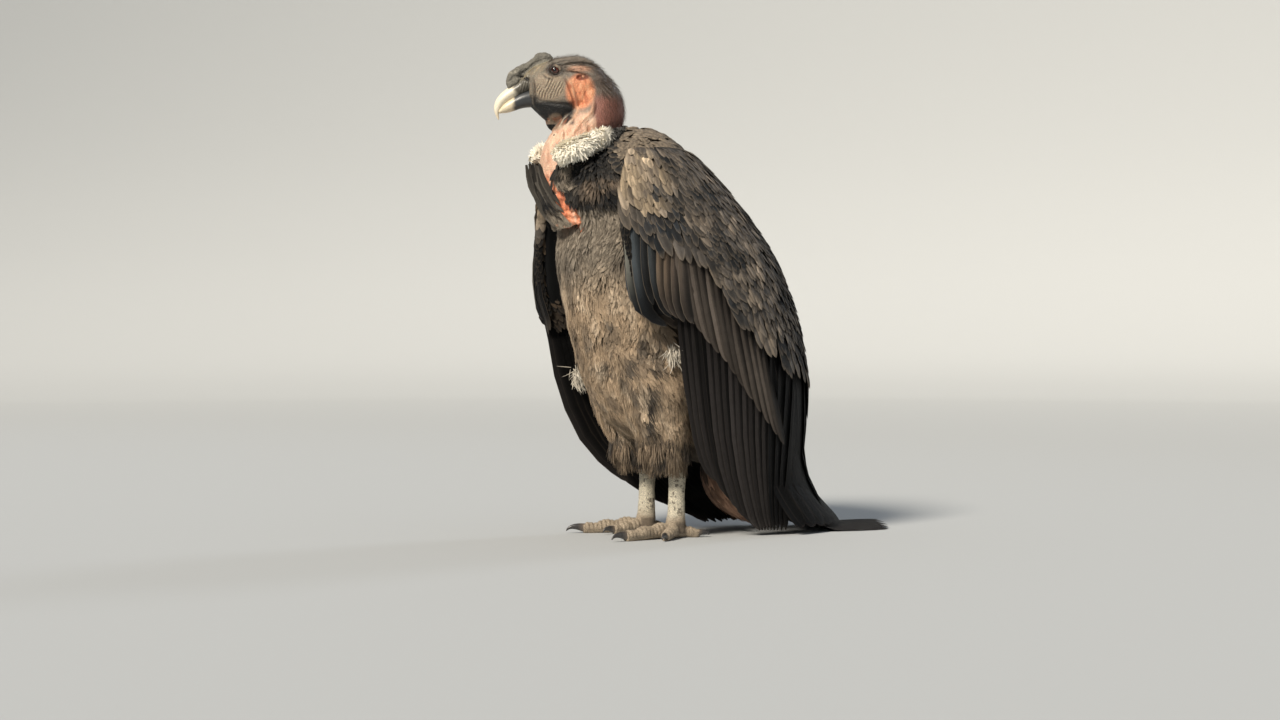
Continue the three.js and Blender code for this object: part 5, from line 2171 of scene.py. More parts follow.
        coat = Coat("crop_fuzz", 640)
        neck = NeckSurface()
        deep = replace(self, coat_depth=2.0)
        deep.layer(coat, neck, SOFT, 20.0, 2.6, 5.0, 5.5, covered, 1.0, 1.5)
        deep.layer(coat, neck, STRAND, 17.0, 0.85, 2.8, 3.0, covered, 2.4, 1.4)
        paths = np.array([path_table(line)(COVERT.steps) for line in PLUME_LINES])
        count = len(paths)
        for bend in range(2):
            right, height = paths[..., 0] + 3 * bend, paths[..., 1] + 12 * bend
            depth = self.near_depth(right, height) + 3.0 + coat.random.uniform(0, 3, (count, 1)) - 2 * bend
            centres = right[..., None] * ACROSS + depth[..., None] * SIGHT + height[..., None] * UP
            lie = lie_free(centres, unit(SIGHT + 0.25 * coat.random.normal(0, 1, (count, 1, 3))))
            tones = linear(BodyTone.PLUME) * coat.random.uniform(0.35, 1.5, (count, 1))
            patches = np.stack([np.full(count, 0.9), 0.5 + 0.01 * np.arange(count)], -1)
            coat.add(lie, 4.6, COVERT, tones, patches, 1.2)
        finish_piece(coat.piece(), soft, "plumage", "torso", "neck")

    @staticmethod
    def near_depth(right: Array, height: Array) -> Array:
        """How far towards the viewer torso or neck reach at places of the view, or their rim beside them."""
        turn = np.linspace(0, 2 * math.pi, 121)
        torso = SmoothTable(TORSO)
        neck = SmoothTable([(z, y, wide, deep) for _, y, z, wide, deep in NECK[:3]])
        depth = np.full(np.shape(right), -np.inf)
        for place in np.ndindex(*np.shape(right)):
            z = height[place]
            rings = [tuple(torso(np.array(z))[:3])]
            if z < 611:
                rings.append(tuple(neck(np.array(z))))
            for y, half, deep in rings:
                ring_x, ring_y = half * np.cos(turn), y + deep * np.sin(turn)
                r = ring_x * math.cos(VIEW_TURN) + ring_y * math.sin(VIEW_TURN)
                d = ring_x * math.sin(VIEW_TURN) - ring_y * math.cos(VIEW_TURN)
                near = np.abs(r - right[place]) < 5
                depth[place] = max(depth[place], d[near].max() if near.any() else d[np.argmin(r)])
        return depth

    def build_thighs(self, soft: Finish) -> None:
        """Builds the feathers of both thighs.

        Args:
            soft: Their finish.
        """
        torso = SmoothTable(TORSO)
        for side in Side:
            thigh = ThighSurface(side)

            def outside(points: Array) -> Array:
                """Whether a root on the thigh is outside the torso."""
                x, y, z = np.moveaxis(points, -1, 0)
                middle, wide, front, back = np.moveaxis(torso(z), -1, 0)
                deep = np.where(y < middle, front, back)
                return (x / wide) ** 2 + ((y - middle) / deep) ** 2 > 0.86

            def hem(points: Array) -> Array:
                """Whether a root is near the thigh's lower end."""
                return points[..., 2] < 175

            coat = Coat(f"thigh_{side.label}_feathers", 620 + side.value)
            step = self.strand_step
            self.layer(coat, thigh, SOFT, *self.vane, outside, -1.5, 2.6, 112.0)
            fine = (self.strand_half, step, step * 1.1)
            self.layer(coat, thigh, STRAND, 30.0, *fine, outside, 0.2, 2.6, 108.0)
            self.layer(coat, thigh, STRAND, 44.0, 0.85, 3.0, 3.6, hem, 2.0, 4.5, 100.0)
            self.hem(coat, thigh)
            finish_piece(coat.piece(), soft, "plumage", f"thigh_{side.label}")

    @staticmethod
    def hem(coat: Coat, thigh: ThighSurface) -> None:
        """Adds the long ragged hairs that hang over the tarsus.

        Args:
            coat: Takes them.
            thigh: What they grow from.
        """
        count = 2600
        a = coat.random.uniform(0, 2 * math.pi, count)
        b = thigh.length[-1] - coat.random.uniform(1.0, 44.0, count)
        places, outs = thigh.point(a, b), thigh.normal(a, b)
        clump = NOISE(np.stack([9 * np.cos(a), 9 * np.sin(a), b / 6], -1), 3.2)
        length = 19 + 14 * clump + coat.random.uniform(-6, 7, count)
        outs = unit(outs * np.array([1.0, 1.0, 0.0]) + 1e-6)
        across = np.cross(outs, np.array([0.0, 0, 1.0]))
        way = np.array([0.0, 0, -1.0]) + outs * (0.1 + 0.16 * clump)[:, None]
        way = unit(way + across * (0.4 * np.roll(clump, 7) + coat.random.normal(0, 0.1, count))[:, None])
        s = STRAND.steps[None, :, None]
        centres = (places - 3 * outs)[:, None] + way[:, None] * length[:, None, None] * s
        centres = centres + outs[:, None] * 3.0 * s - outs[:, None] * 4.0 * s**2
        centres[..., 2] = np.maximum(centres[..., 2], 96.0)
        dark = smoothstep(NOISE(places, 15.0) + 0.5 * clump, 0.0, 0.5)
        tones = lay(linear(BodyTone.BELLY), BodyTone.BLOTCH, np.maximum(dark, 0.45))
        tones = tones * np.exp(coat.random.normal(0, 0.25, (count, 1)))
        coat.add(lie_free(centres, outs[:, None]), 0.85, STRAND, tones, thigh.patch(a, b))

    @staticmethod
    def tufts(down: Finish) -> None:
        """Builds the white tufts of down that show beside both wings.

        Args:
            down: Their finish.
        """
        coat = Coat("flank_tufts", 660)
        s = DOWN.steps[None, :, None]
        for x, r, z, count, lean in ((118.0, 29.0, 306.0, 130, 0.35), (-140.0, -130.0, 262.0, 150, 0.5)):
            middle = ACROSS * r + SIGHT * ((x - r * ACROSS[0]) / SIGHT[0]) + UP * z
            spread = coat.random.normal(0, 1, (count, 3)) * np.array([5.0, 5.0, 8.0])
            way = -UP + ACROSS * lean + 0.4 * SIGHT + 0.45 * coat.random.normal(0, 1, (count, 3))
            length = coat.random.uniform(12, 26, count)[:, None, None]
            bend = ACROSS * coat.random.normal(0, 5, (count, 1))
            centres = (middle + spread)[:, None] + unit(way)[:, None] * length * s + bend[:, None] * s**2
            tones = linear((228, 218, 200)) * coat.random.uniform(0.4, 0.95, (count, 1))
            patches = np.tile([0.2, 0.4], (count, 1))
            coat.add(lie_free(centres, SIGHT), 0.8, DOWN, tones, patches)
        finish_piece(coat.piece(), down, "down", "torso")


# Middle lines in the view of the pointed feathers beside the bare stripe
PLUME_LINES = (
    ((-209, 606), (-203, 575), (-192, 548)),
    ((-204, 608), (-197, 572), (-180, 540)),
    ((-199, 606), (-190, 568), (-171, 528)),
    ((-194, 602), (-184, 566), (-160, 520)),
    ((-206, 596), (-196, 560), (-174, 522)),
    ((-190, 594), (-180, 562), (-156, 528)),
    ((-198, 588), (-184, 548), (-150, 516)),
    ((-202, 580), (-188, 538), (-163, 505)),
)


# Collar


@dataclass
class Collar:
    """The ruff: a soft roll of down round the foot of the neck, open at the throat."""

    strands: int = 10500
    white: Rgb = (254, 247, 230)
    # grey and dark are painted shade on the roll's underside and under it.
    grey: Rgb = (122, 112, 98)
    dark: Rgb = (44, 44, 44)

    def frame(self, t: Array) -> tuple[Array, Array, Array, Array, Array]:
        """The roll's middle line.

        Args:
            t: From 0 at the right throat over the nape to 1 at the left throat.

        Returns:
            Centres, directions along, out and up, and radii.
        """
        rows = [(-x, y, z, r) for x, y, z, r in RUFF[:0:-1]] + list(RUFF)
        table = path_table(rows)
        value = table(t)
        along = unit(table(np.clip(t + 0.01, 0, 1))[..., :3] - table(np.clip(t - 0.01, 0, 1))[..., :3])
        out = value[..., :3] - np.array([0.0, -138, 642])
        out = unit(out - np.sum(out * along, -1, keepdims=True) * along)
        return value[..., :3], along, out, np.cross(along, out), value[..., 3]

    def core(self) -> Piece:
        """Returns:
        The roll under the down.
        """
        t = np.linspace(0.0, 1.0, 70)
        centre, _, out, up, radius = self.frame(t)
        size = radius * 0.88 * np.clip(np.minimum(t, 1 - t) * 12 + 0.25, 0, 1)
        size = size * mix(0.3, 1.0, smoothstep(np.abs(t - 0.5), 0.14, 0.27))
        obj = loft("ruff_roll", ovals(centre, out, up, size, size, size, 24))
        return paint_piece(obj, self.tone(mesh_points(obj)))

    def tone(self, points: Array) -> Array:
        """The down's colours at places: white on top, grey to dark below as painted shade on the roll's
        underside and under it, and painted shade at the nape, where the roll lies behind the neck.
        """
        mirrored = np.stack([np.abs(points[..., 0]), points[..., 1], points[..., 2]], -1)
        right, height = seen(mirrored)
        right = np.where(points[..., 0] < 0, -158.0, right)
        small = MOTTLE.layers(points, 12.0, 2)
        under = np.interp(right, [-210, -161, -130, -97, -66], [598, 604, 615, 630, 652])
        # Below the white top: grey, then dark, painted shade on the roll's underside and under it.
        below = smoothstep(height + 6 * small, under + 4, under - 8)
        deep = smoothstep(height + 9 * small, under - 8, under - 24)
        tone = lay(lay(linear(self.white), self.grey, below), self.dark, deep)
        # Painted shade at the nape, where the roll lies hidden behind the neck.
        return mix(tone, linear(BodyTone.BACK) * 0.5, smoothstep(points[..., 1], -122, -100)[..., None])

    def down(self) -> Piece:
        """Returns:
        The down's strands.
        """
        coat = Coat("ruff_down", 700)
        count = self.strands
        t = np.clip(coat.random.normal(0, 0.02, count) + coat.random.uniform(0.0, 1.0, count), 0, 1)
        turn = coat.random.uniform(-0.85, 1.0, count) * math.pi
        centre, along, out, up, radius = self.frame(t)
        end = np.clip(np.minimum(t, 1 - t) * 14 + 0.45, 0, 1)
        radius = radius * end * mix(0.3, 1.0, smoothstep(np.abs(t - 0.5), 0.14, 0.27))
        radial = out * np.cos(turn)[:, None] + up * np.sin(turn)[:, None]
        around = np.cross(along, radial)
        radius = radius * (1 + 0.22 * NOISE(centre + radial * 12, 17.0))
        start = centre + radial * (radius * 0.84)[:, None]
        swirl = 2.6 * NOISE(start, 15.0) + coat.random.normal(0, 0.7, count)
        way = along * np.sin(swirl)[:, None] - around * np.cos(swirl)[:, None]
        way = unit(way + radial * coat.random.uniform(0.1, 0.65, count)[:, None])
        length = radius * coat.random.uniform(0.5, 0.95, count)
        s = WOOL.steps[None, :, None]
        centres = start[:, None] + way[:, None] * length[:, None, None] * s
        centres = centres + radial[:, None] * coat.random.uniform(-1.0, 2.0, count)[:, None, None] * s**2
        lie = lie_free(centres, radial[:, None])
        tones = self.tone(centres[:, -1]) * coat.random.uniform(0.82, 1.1, (count, 1))
        patches = np.stack([0.05 + 0.9 * t, 0.5 + turn / 8], -1)
        coat.add(lie, coat.random.uniform(0.9, 1.5, count), WOOL, tones, patches)
        return coat.piece()

    def build(self, down: Finish) -> None:
        """Builds and dresses the collar.

        Args:
            down: Its finish.
        """
        finish_piece(self.core(), down, "down", "ruff")
        finish_piece(self.down(), down, "down", "ruff")


# Skin


@dataclass(frozen=True)
class Fold:
    """A ridge or, with a height below 0, a crease along points of the head's side: forward and up. Its tone,
    pale on a ridge and dark in a crease, is painted highlight and painted shade.
    """

    path: tuple[Pair, ...]
    height: float
    width: float
    tone: Rgb | None = None

    def weight(self, forward: Array, up: Array, wider: float = 1.0) -> Array:
        """How near points lie to the fold, from 0 to 1, less towards its ends."""
        place = np.stack([forward, up], -1)
        points = path_table(list(self.path))(np.linspace(0, 1, 8 * len(self.path)))
        best = np.full(place.shape[:-1], np.inf)
        share = np.zeros_like(best)
        for i in range(len(points) - 1):
            step = points[i + 1] - points[i]
            t = np.clip(((place - points[i]) @ step) / max(step @ step, 1e-9), 0, 1)
            gap = np.linalg.norm(place - points[i] - t[..., None] * step, axis=-1)
            nearer = gap < best
            best = np.where(nearer, gap, best)
            share = np.where(nearer, (i + t) / (len(points) - 1), share)
        taper = np.sin(math.pi * np.clip(share, 0.02, 0.98)) ** 0.5
        return np.exp(-((best / (self.width * wider)) ** 2)) * taper


FOLDS = (
    Fold(((13, 14), (0, 17), (-16, 18), (-41, 20), (-61, 15.5), (-76, 6)), 2.8, 4.0),
    Fold(((-12, 8.5), (-28, 12), (-41, 13), (-58, 11), (-70, 5)), -3.2, 1.5, (52, 42, 36)),
    Fold(((-20, 4), (-41, 3.5), (-58, -1)), 1.6, 3.6, (192, 150, 124)),
    Fold(((-12, -2.5), (-25, -2.5), (-44.5, -6), (-60, -11)), -2.8, 1.4, (70, 46, 36)),
    Fold(((19, -3), (8, 6), (-4, 9.5), (-14, 8)), -1.8, 1.3, (44, 38, 34)),
    Fold(((20, -7), (13, -13), (4, -15)), -0.9, 1.3, (64, 56, 48)),
    Fold(
        ((-18, -12), (-25, -24), (-35, -54), (-36, -64), (-30, -76), (-18, -89)),
        *(2.6, 2.0, (226, 178, 142)),
    ),
    Fold(((-14, -14), (-20, -26), (-30, -53), (-31, -63)), -2.0, 1.4, (122, 74, 52)),
    Fold(
        ((-61, -45), (-60, -57), (-56, -70), (-43, -82), (-34, -94), (-25, -106)),
        *(2.8, 2.2, (216, 168, 136)),
    ),
    Fold(((-66, -52), (-65, -62), (-61, -74), (-48, -87)), -1.8, 1.6, (110, 66, 54)),
    Fold(((40, -9), (36, -29), (35, -54), (25, -66)), 1.8, 1.4, (112, 104, 93)),
    Fold(((35, -10), (32, -29), (31, -52)), -1.2, 1.2, (58, 54, 50)),
    Fold(((31, -46), (8, -53), (-16, -56), (-31, -60)), -1.4, 2.4, (52, 50, 48)),
    Fold(((18, 16), (27, 4), (36, -6)), 1.6, 1.7, (170, 154, 126)),
    Fold(((25, 17), (34, 8), (42, -1)), 1.4, 1.5, (158, 144, 120)),
    Fold(((11, 15), (19, 5), (26, -6)), 1.2, 1.5, (142, 128, 106)),
    Fold(((-8, -90), (0, -103), (6.6, -120), (13, -141), (14, -160)), 1.8, 1.9, (236, 204, 174)),
    Fold(((-18, -90), (-10, -105), (-5, -125), (-1, -146)), 2.0, 1.9, (234, 198, 166)),
    Fold(((-12, -96), (-13, -108), (-11, -120)), -2.0, 1.2, (150, 98, 76)),
    Fold(((-26, -104), (-19, -118), (-14, -132), (-10, -150)), 1.7, 1.7, (226, 184, 150)),
)


class HeadTone(Enum):
    """Colours of the bare head and neck as seen on a screen."""

    CROWN = (126, 116, 103)
    NAPE = (112, 98, 87)
    ORANGE = (236, 158, 116)
    BAND = (184, 142, 116)
    EAR = (112, 62, 42)
    CHEEK = (158, 141, 120)
    JOWL = (10, 10, 11)
    LORE = (128, 117, 100)
    ROUND_EYE = (70, 61, 53)
    NECK_FRONT = (228, 186, 158)
    NECK_BACK = (146, 98, 84)
    NECK_LOW = (240, 152, 110)
    WATTLE = (124, 108, 90)


def spot(forward: Array, up: Array, centre: Pair, reach: Pair, turn: float = 0.0) -> Array:
    """An oval weight on the head's side, at places forward of the eye and above it."""
    return oval(forward, up, centre, reach, turn, (1.15, 0.75))


def cheek_lines(forward: Array, up: Array) -> Array:
    """The slanting fine wrinkles of the cheek, as waves of -1 to 1 that fade at the cheek's rim."""
    across = forward * 0.92 + up * 0.39
    place = np.stack([forward, up, 0 * up], -1)
    bend = 1.6 * NOISE(place, (26.0, 12.0, 9.0)) + 0.9 * NOISE(place + 20, 6.0)
    uneven = smoothstep(NOISE(place + 60, (6.0, 11.0, 9.0)), -0.7, 0.1)
    waves = np.sin((across + bend) * 2 * math.pi / 4.4) * uneven
    return waves * spot(forward, up, (9, -29), (24, 17), -0.25)


def head_relief(points: Array) -> Array:
    """How far the head's and neck's skin stands out at points, in millimetres."""
    forward, out, up = head_places(points)
    side = smoothstep(np.abs(out), 6, 16)
    rise = sum(fold.height * fold.weight(forward, up) for fold in FOLDS) * side
    rise += 0.85 * cheek_lines(forward, up) * side
    rise -= 3.6 * spot(forward, up, (-42, -11), (8, 4.5), -0.15) * side
    rise += 1.4 * spot(forward, up, (-49, -34), (11, 20)) * side
    rise -= 6.5 * smoothstep(np.hypot(forward / 1.12, up / 0.92), 7.0, 5.4) * side
    rise += 1.6 * np.exp(-(((np.hypot(forward / 1.15, up / 0.9) - 10.5) / 2.0) ** 2)) * side
    neck = smoothstep(up, -70, -90)
    long_folds = NOISE(points, (6.0, 6.0, 20.0)) + 0.5 * NOISE(points + 30, (3.5, 3.5, 9.0))
    rise += 1.5 * neck * long_folds
    crinkle = NOISE(np.stack([forward, up, out], -1), (4.0, 9.0, 4.0))
    rise += 0.9 * crinkle * spot(forward, up, (-40, -34), (22, 28)) * side
    low = smoothstep(points[:, 2], 600, 560)
    ripple = points[:, 2] * 0.52 + points[:, 0] * 0.12 + 2.4 * NOISE(points, 24.0) + 1.2 * NOISE(points, 9.0)
    rise += 1.5 * low * np.sin(ripple) * (0.7 + 0.5 * NOISE(points, 15.0))
    crown = smoothstep(up, -5, 12) * smoothstep(forward, 30, 10)
    rise += 0.5 * crown * np.sin(up * 1.1 + forward * 0.25 + 2 * NOISE(points, 18.0))
    return rise + 0.35 * NOISE.layers(points, 7.0, 2)


def head_tone(points: Array) -> Array:
    """The colours of the bare head and neck at points, for skin and bristles alike."""
    forward, out, up = head_places(points)
    side = smoothstep(np.abs(out), 5, 14)
    tone = np.tile(linear(HeadTone.CROWN), (len(points), 1))

    def paint(colour: HeadTone | Rgb, weight: Array) -> None:
        """Lays a colour over the tone."""
        nonlocal tone
        tone = lay(tone, colour, weight)

    grain = NOISE.layers(points, 16.0)
    paint(HeadTone.NAPE, smoothstep(forward, -50, -75))
    paint(HeadTone.NECK_BACK, smoothstep(up + 8 * grain, -34, -52) * smoothstep(forward, -52, -68))
    paint(HeadTone.NECK_FRONT, smoothstep(up, -60, -78) * smoothstep(forward + 5 * grain, -66, -56))
    paint(HeadTone.LORE, spot(forward, up, (30, 0), (20, 20)) * side)
    paint(HeadTone.CHEEK, spot(forward, up, (10, -27), (30, 23)) * side)
    # Pale on the cheek wrinkles' ridges and dark in their grooves: painted highlight and painted shade.
    paint((196, 178, 152), 0.6 * smoothstep(cheek_lines(forward, up), 0.1, 0.6))
    paint((80, 68, 57), 0.75 * smoothstep(-cheek_lines(forward, up), 0.1, 0.6))
    paint(HeadTone.BAND, spot(forward, up, (-38, 2), (20, 5), -0.06) * side)
    paint(HeadTone.ORANGE, spot(forward + 3 * grain, up, (-40, -34), (24, 29)) * side)
    paint(HeadTone.EAR, spot(forward, up, (-43, -12), (11, 5), -0.12) * side)
    jowl = smoothstep(up + 2 * grain, -47, -54) * smoothstep(forward, -38, -30) * smoothstep(up, -92, -84)
    paint(HeadTone.JOWL, jowl * smoothstep(forward, -33, -26))
    paint(HeadTone.JOWL, smoothstep(forward, 22, 34) * smoothstep(up, -36, -46))
    paint(HeadTone.ROUND_EYE, spot(forward, up, (1, 0), (15, 11)) * side)
    paint(HeadTone.WATTLE, 0.8 * spot(forward + 4 * grain, up, (0, -83), (13, 15)))
    paint(HeadTone.NECK_LOW, smoothstep(points[:, 2], 600, 565))
    # Fold tones, pale on ridges and dark in creases: painted highlight and painted shade.
    for fold in FOLDS:
        if fold.tone:
            paint(fold.tone, 0.85 * fold.weight(forward, up, 1.1) * side)
    neck = smoothstep(up, -66, -84) * smoothstep(forward, -66, -54)
    folds = NOISE(points, (6.0, 6.0, 20.0)) + 0.5 * NOISE(points + 30, (3.5, 3.5, 9.0))
    # Creamy on the neck's fold tops and darker in their grooves: painted highlight and painted shade.
    paint((250, 226, 200), 0.55 * neck * smoothstep(folds, 0.1, 0.8))
    paint((178, 112, 84), 0.5 * neck * smoothstep(-folds, 0.1, 0.8))
    crinkle = NOISE(np.stack([forward, up, out], -1), (4.0, 9.0, 4.0))
    patch = spot(forward, up, (-40, -34), (22, 28)) * side
    # Pale on the crinkles' tops and dark in their hollows: painted highlight and painted shade.
    paint((250, 188, 146), 0.6 * patch * smoothstep(crinkle, 0.1, 0.6))
    paint((176, 92, 62), 0.6 * patch * smoothstep(-crinkle, 0.1, 0.6))
    # Darker red in the grooves low on the neck: painted shade.
    red = smoothstep(points[:, 2], 620, 575)
    paint((196, 104, 70), 0.6 * red * smoothstep(-folds, -0.1, 0.5))
    return tone * (1 + 0.16 * grain)[..., None]


def near_neck(points: Array) -> Array:
    """Whether points belong to the head or the neck and not to the body."""
    table = path_table(NECK)
    stops = table(np.linspace(0, 1, 60))
    gap = np.full(len(points), np.inf)
    for stop in stops:
        gap = np.minimum(gap, np.linalg.norm(points - stop[:3], axis=1) / (stop[3] + 3.5))
    forward, _, up = head_places(points)
    head = (up > -92) & (forward > -95) & (points[:, 2] > 672)
    return (gap < 1.0) | head


@dataclass
class Skin:
    """One closed skin of the head, neck, torso, thighs, legs and feet."""

    coat_depth: float = 9.5
    head_voxel: float = 1.5
    feet_voxel: float = 1.8
    body_voxel: float = 5.0

    def head(self) -> Piece:
        """Returns:
        Head, neck and wattle as one closed mesh with folds and wrinkles.
        """
        table = SmoothTable(HEAD)
        f = np.linspace(HEAD[0][0], HEAD[-1][0], 90)
        centre, up, down, wide = np.moveaxis(table(f), -1, 0)
        middles = head_point(f, 0 * f, centre)
        sides, ups = np.tile(HEAD_LEFT, (len(f), 1)), np.tile(UP, (len(f), 1))
        parts = [loft("skin_head", ovals(middles, sides, ups, wide, up, down, 110))]
        neck = NeckSurface()
        level = np.linspace(0, 1, 110)
        turn = np.linspace(0, 2 * math.pi, 110, endpoint=False)
        turn, level = np.broadcast_arrays(turn[None], level[:, None])
        parts.append(loft("skin_neck", neck.ring(turn, level)))
        rows = path_table(WATTLE)(np.linspace(0, 1, 40))
        centres = head_point(rows[:, 0], 0 * rows[:, 0], rows[:, 1])
        parts.append(loft("skin_wattle", sweep_rings(centres, rows[:, 3], rows[:, 2], HEAD_LEFT, 40)))
        obj = fuse("skin_top", parts, self.head_voxel, 8)
        push_out(obj, head_relief(mesh_points(obj)))
        return obj

    def body(self) -> Piece:
        """Returns:
        Torso and thighs, inside their plumage.
        """
        parts = []
        for name, surface in (
            ("skin_torso", TorsoSurface()),
            ("skin_thigh_l", ThighSurface(Side.LEFT)),
            ("skin_thigh_r", ThighSurface(Side.RIGHT)),
        ):
            b = np.linspace(0.5, surface.length[-1] - 0.5, 60)[:, None]
            a = np.linspace(0, 2 * math.pi, 64, endpoint=False)[None]
            a, b = np.broadcast_arrays(a, b)
            parts.append(loft(name, surface.point(a, b) - self.coat_depth * surface.normal(a, b)))
        return fuse("skin_body", parts, self.body_voxel, 6)

    def legs(self) -> Piece:
        """Returns:
        Both tarsi and feet, flat where they stand.
        """
        parts = [part for side in Side for part in Leg(side).parts()]
        obj = fuse("skin_legs", parts, self.feet_voxel, 3)
        points = mesh_points(obj)
        normals = mesh_normals(obj)
        for side in Side:
            points = points + normals * Leg(side).scutes(points)[:, None]
        points[:, 2] = np.maximum(points[:, 2], 0.15)
        set_points(obj, points)
        return obj

    def build(self, hide: Finish, under: Finish, scales: Finish) -> None:
        """Joins the skin, paints it and dresses it.

        Args:
            hide: The bare skin's finish.
            under: The finish under the plumage.
            scales: The legs' finish.
        """
        obj = self.body()
        for other in (self.head(), self.legs()):
            apply_modifier(obj, "BOOLEAN", operation="UNION", solver="MANIFOLD", object=other)
            bpy.data.objects.remove(other)
        obj.name = "skin"
        points = mesh_points(obj)
        bare, leg = near_neck(points), points[:, 2] < 152
        off = points[:, 1] - LEG_Y - 3
        leg &= np.min([np.hypot(points[:, 0] - side.value * LEG_SPREAD, off) for side in Side], 0) < 24
        leg |= points[:, 2] < 30
        # The skin under the plumage is painted darker than the coat: painted shade under the feathers.
        tones = body_tone(points) * 0.55
        tones[bare] = head_tone(points[bare])
        tones[leg] = leg_tone(points[leg])
        finish_piece(
            paint_piece(obj, tones, 70),
            hide,
            "face_skin",
            *("torso", "neck", "head", "wattle", "thigh_left", "thigh_right"),
            *("tarsus_left", "tarsus_right", "foot_left", "foot_right"),
        )
        obj.data.materials.append(under)
        obj.data.materials.append(scales)
        first = np.array([p.vertices[0] for p in obj.data.polygons])
        slots = np.where(leg[first], 2, np.where(bare[first], 0, 1))
        obj.data.polygons.foreach_set("material_index", slots.astype(np.int32))
        obj.data.update()


# Legs


@dataclass(frozen=True)
class Toe:
    """A toe: its turn outwards from straight ahead, length to the claw, claw length and radius."""

    name: str
    turn: float
    length: float
    claw: float
    radius: float


TOES = (
    Toe("middle", 0.26, 104, 40, 11),
    Toe("inner", -0.2, 66, 30, 9.5),
    Toe("outer", 0.86, 66, 28, 9.5),
    Toe("hind", 2.85, 36, 24, 8.5),
)


def leg_tone(points: Array) -> Array:
    """The colours of tarsi and toes at points: whitish shanks with dark specks, and toes with dark gaps."""
    z = points[:, 2]
    upper = smoothstep(z + 6 * MOTTLE(points, 14.0), 22, 44)
    tone = lay(linear((190, 172, 148)), (236, 226, 202), upper)
    plates = sum(Leg(side).scutes(points) for side in Side)
    gaps = smoothstep(plates, 0.45, 0.05) * smoothstep(z, 30, 22) * smoothstep(z, 4, 9)
    specks = smoothstep(MOTTLE(points, 2.6) + 0.5 * MOTTLE(points, 9.0), 0.42, 0.62) * upper
    tone = lay(tone, (84, 70, 58), np.maximum(0.7 * gaps, 0.8 * specks))
    return tone * (1 + 0.22 * MOTTLE.layers(points, 9.0))[..., None]


@dataclass
class Leg:
    """A bare leg: tarsus, palm and four toes with their claws."""

    side: Side
    claw_tone: Rgb = (58, 55, 54)
    claw_root: Rgb = (112, 100, 88)

    @property
    def heel(self) -> Array:
        """The point of the floor under the tarsus."""
        return np.array([self.side.value * LEG_SPREAD, LEG_Y, 0.0])

    def aim(self, toe: Toe) -> Array:
        """The toe's direction over the floor."""
        return np.array([self.side.value * math.sin(toe.turn), -math.cos(toe.turn), 0.0])

    def parts(self) -> list[Piece]:
        """Returns:
        Closed shapes that together make the leg.
        """
        name = f"leg_{self.side.label}"
        z = np.linspace(6.0, TARSUS[-1][0], 60)
        y, wide, deep = np.moveaxis(SmoothTable(TARSUS)(z), -1, 0)
        centres = np.stack([np.full_like(z, self.heel[0]), LEG_Y + y, z], -1)
        sides, backs = (np.tile(np.array(v), (len(z), 1)) for v in ((1.0, 0, 0), (0, 1.0, 0)))
        parts = [loft(f"{name}_tarsus", ovals(centres, sides, backs, wide, deep, deep, 48))]
        bpy.ops.mesh.primitive_uv_sphere_add(segments=40, ring_count=24, radius=1.0)
        palm = bpy.context.active_object
        palm.name = f"{name}_palm"
        palm.scale = Vector((17 * MM, 21 * MM, 13 * MM))
        palm.location = Vector((self.heel + SHIFT + np.array([0, -4, 10.5])) * MM)
        select_only(palm)
        bpy.ops.object.transform_apply(location=True, rotation=True, scale=True)
        parts.append(palm)
        for toe in TOES:
            t = np.linspace(0, 1.03, 70)
            pads = 1 + 0.1 * np.cos(np.minimum(t, 1) * math.pi * 6)
            radius = toe.radius * mix(1.12, 0.8, t) * pads * np.where(t > 0.97, 0.86, 1)
            centres = self.heel + self.aim(toe) * (t * toe.length)[:, None]
            share = np.minimum(t, 1)
            centres[:, 2] = radius * 0.86 - 0.4 + 5 * np.sin(math.pi * share) * (1 - share)
            across = np.array([-self.aim(toe)[1], self.aim(toe)[0], 0.0])
            parts.append(loft(f"{name}_{toe.name}", sweep_rings(centres, radius * 0.95, radius, across, 40)))
        return parts

    def scutes(self, points: Array) -> Array:
        """How far the plates across the toes and down the tarsus stand out at points."""
        rise = np.zeros(len(points))
        away = points - self.heel
        for toe in TOES:
            aim = self.aim(toe)
            along = away @ aim
            off = np.abs(away @ np.array([-aim[1], aim[0], 0.0]))
            here = smoothstep(off, toe.radius * 1.2, toe.radius * 0.75) * smoothstep(along, 14, 22)
            here = here * smoothstep(along, toe.length + 6, toe.length) * smoothstep(points[:, 2], 5, 9)
            tooth = np.mod(along / 7.0, 1.0)
            rise = np.maximum(rise, here * 1.7 * (1 - tooth**2) * smoothstep(tooth, 0.0, 0.14))
        shank = smoothstep(points[:, 2], 26, 36) * smoothstep(np.hypot(away[:, 0], away[:, 1]), 26, 20)
        return rise + 0.5 * shank * NOISE(points, 4.5) * (np.abs(away[:, 0]) < 30)

    def claws(self, horn: Finish) -> None:
        """Builds and dresses the four claws.

        Args:
            horn: Their finish.
        """
        for toe in TOES:
            aim = self.aim(toe)
            t = np.linspace(0, 1, 36)
            base = toe.radius * 0.72
            centres = self.heel + aim * (toe.length - 2 + toe.claw * 0.86 * np.sin(t * 1.35))[:, None]
            centres[:, 2] = base + 4.5 * np.sin(t * 2.6) - (base - 1.6) * t * t
            size = mix(base * 1.02, 0.8, t**0.9)
            size[0] *= 0.85
            across = np.array([-aim[1], aim[0], 0.0])
            rings = sweep_rings(centres, size * 0.8, size, across, 28)
            rings[..., 2] = np.maximum(rings[..., 2], 0.3)
            node = f"claw_{self.side.label}_{toe.name}"
            obj = loft(f"{node}_horn", rings)
            points = mesh_points(obj)
            along = (points - self.heel) @ aim
            dark = smoothstep(along, toe.length, toe.length + toe.claw * 0.35)
            paint_piece(obj, lay(linear(self.claw_root), self.claw_tone, dark))
            finish_piece(obj, horn, "claw", node)


# Head pieces


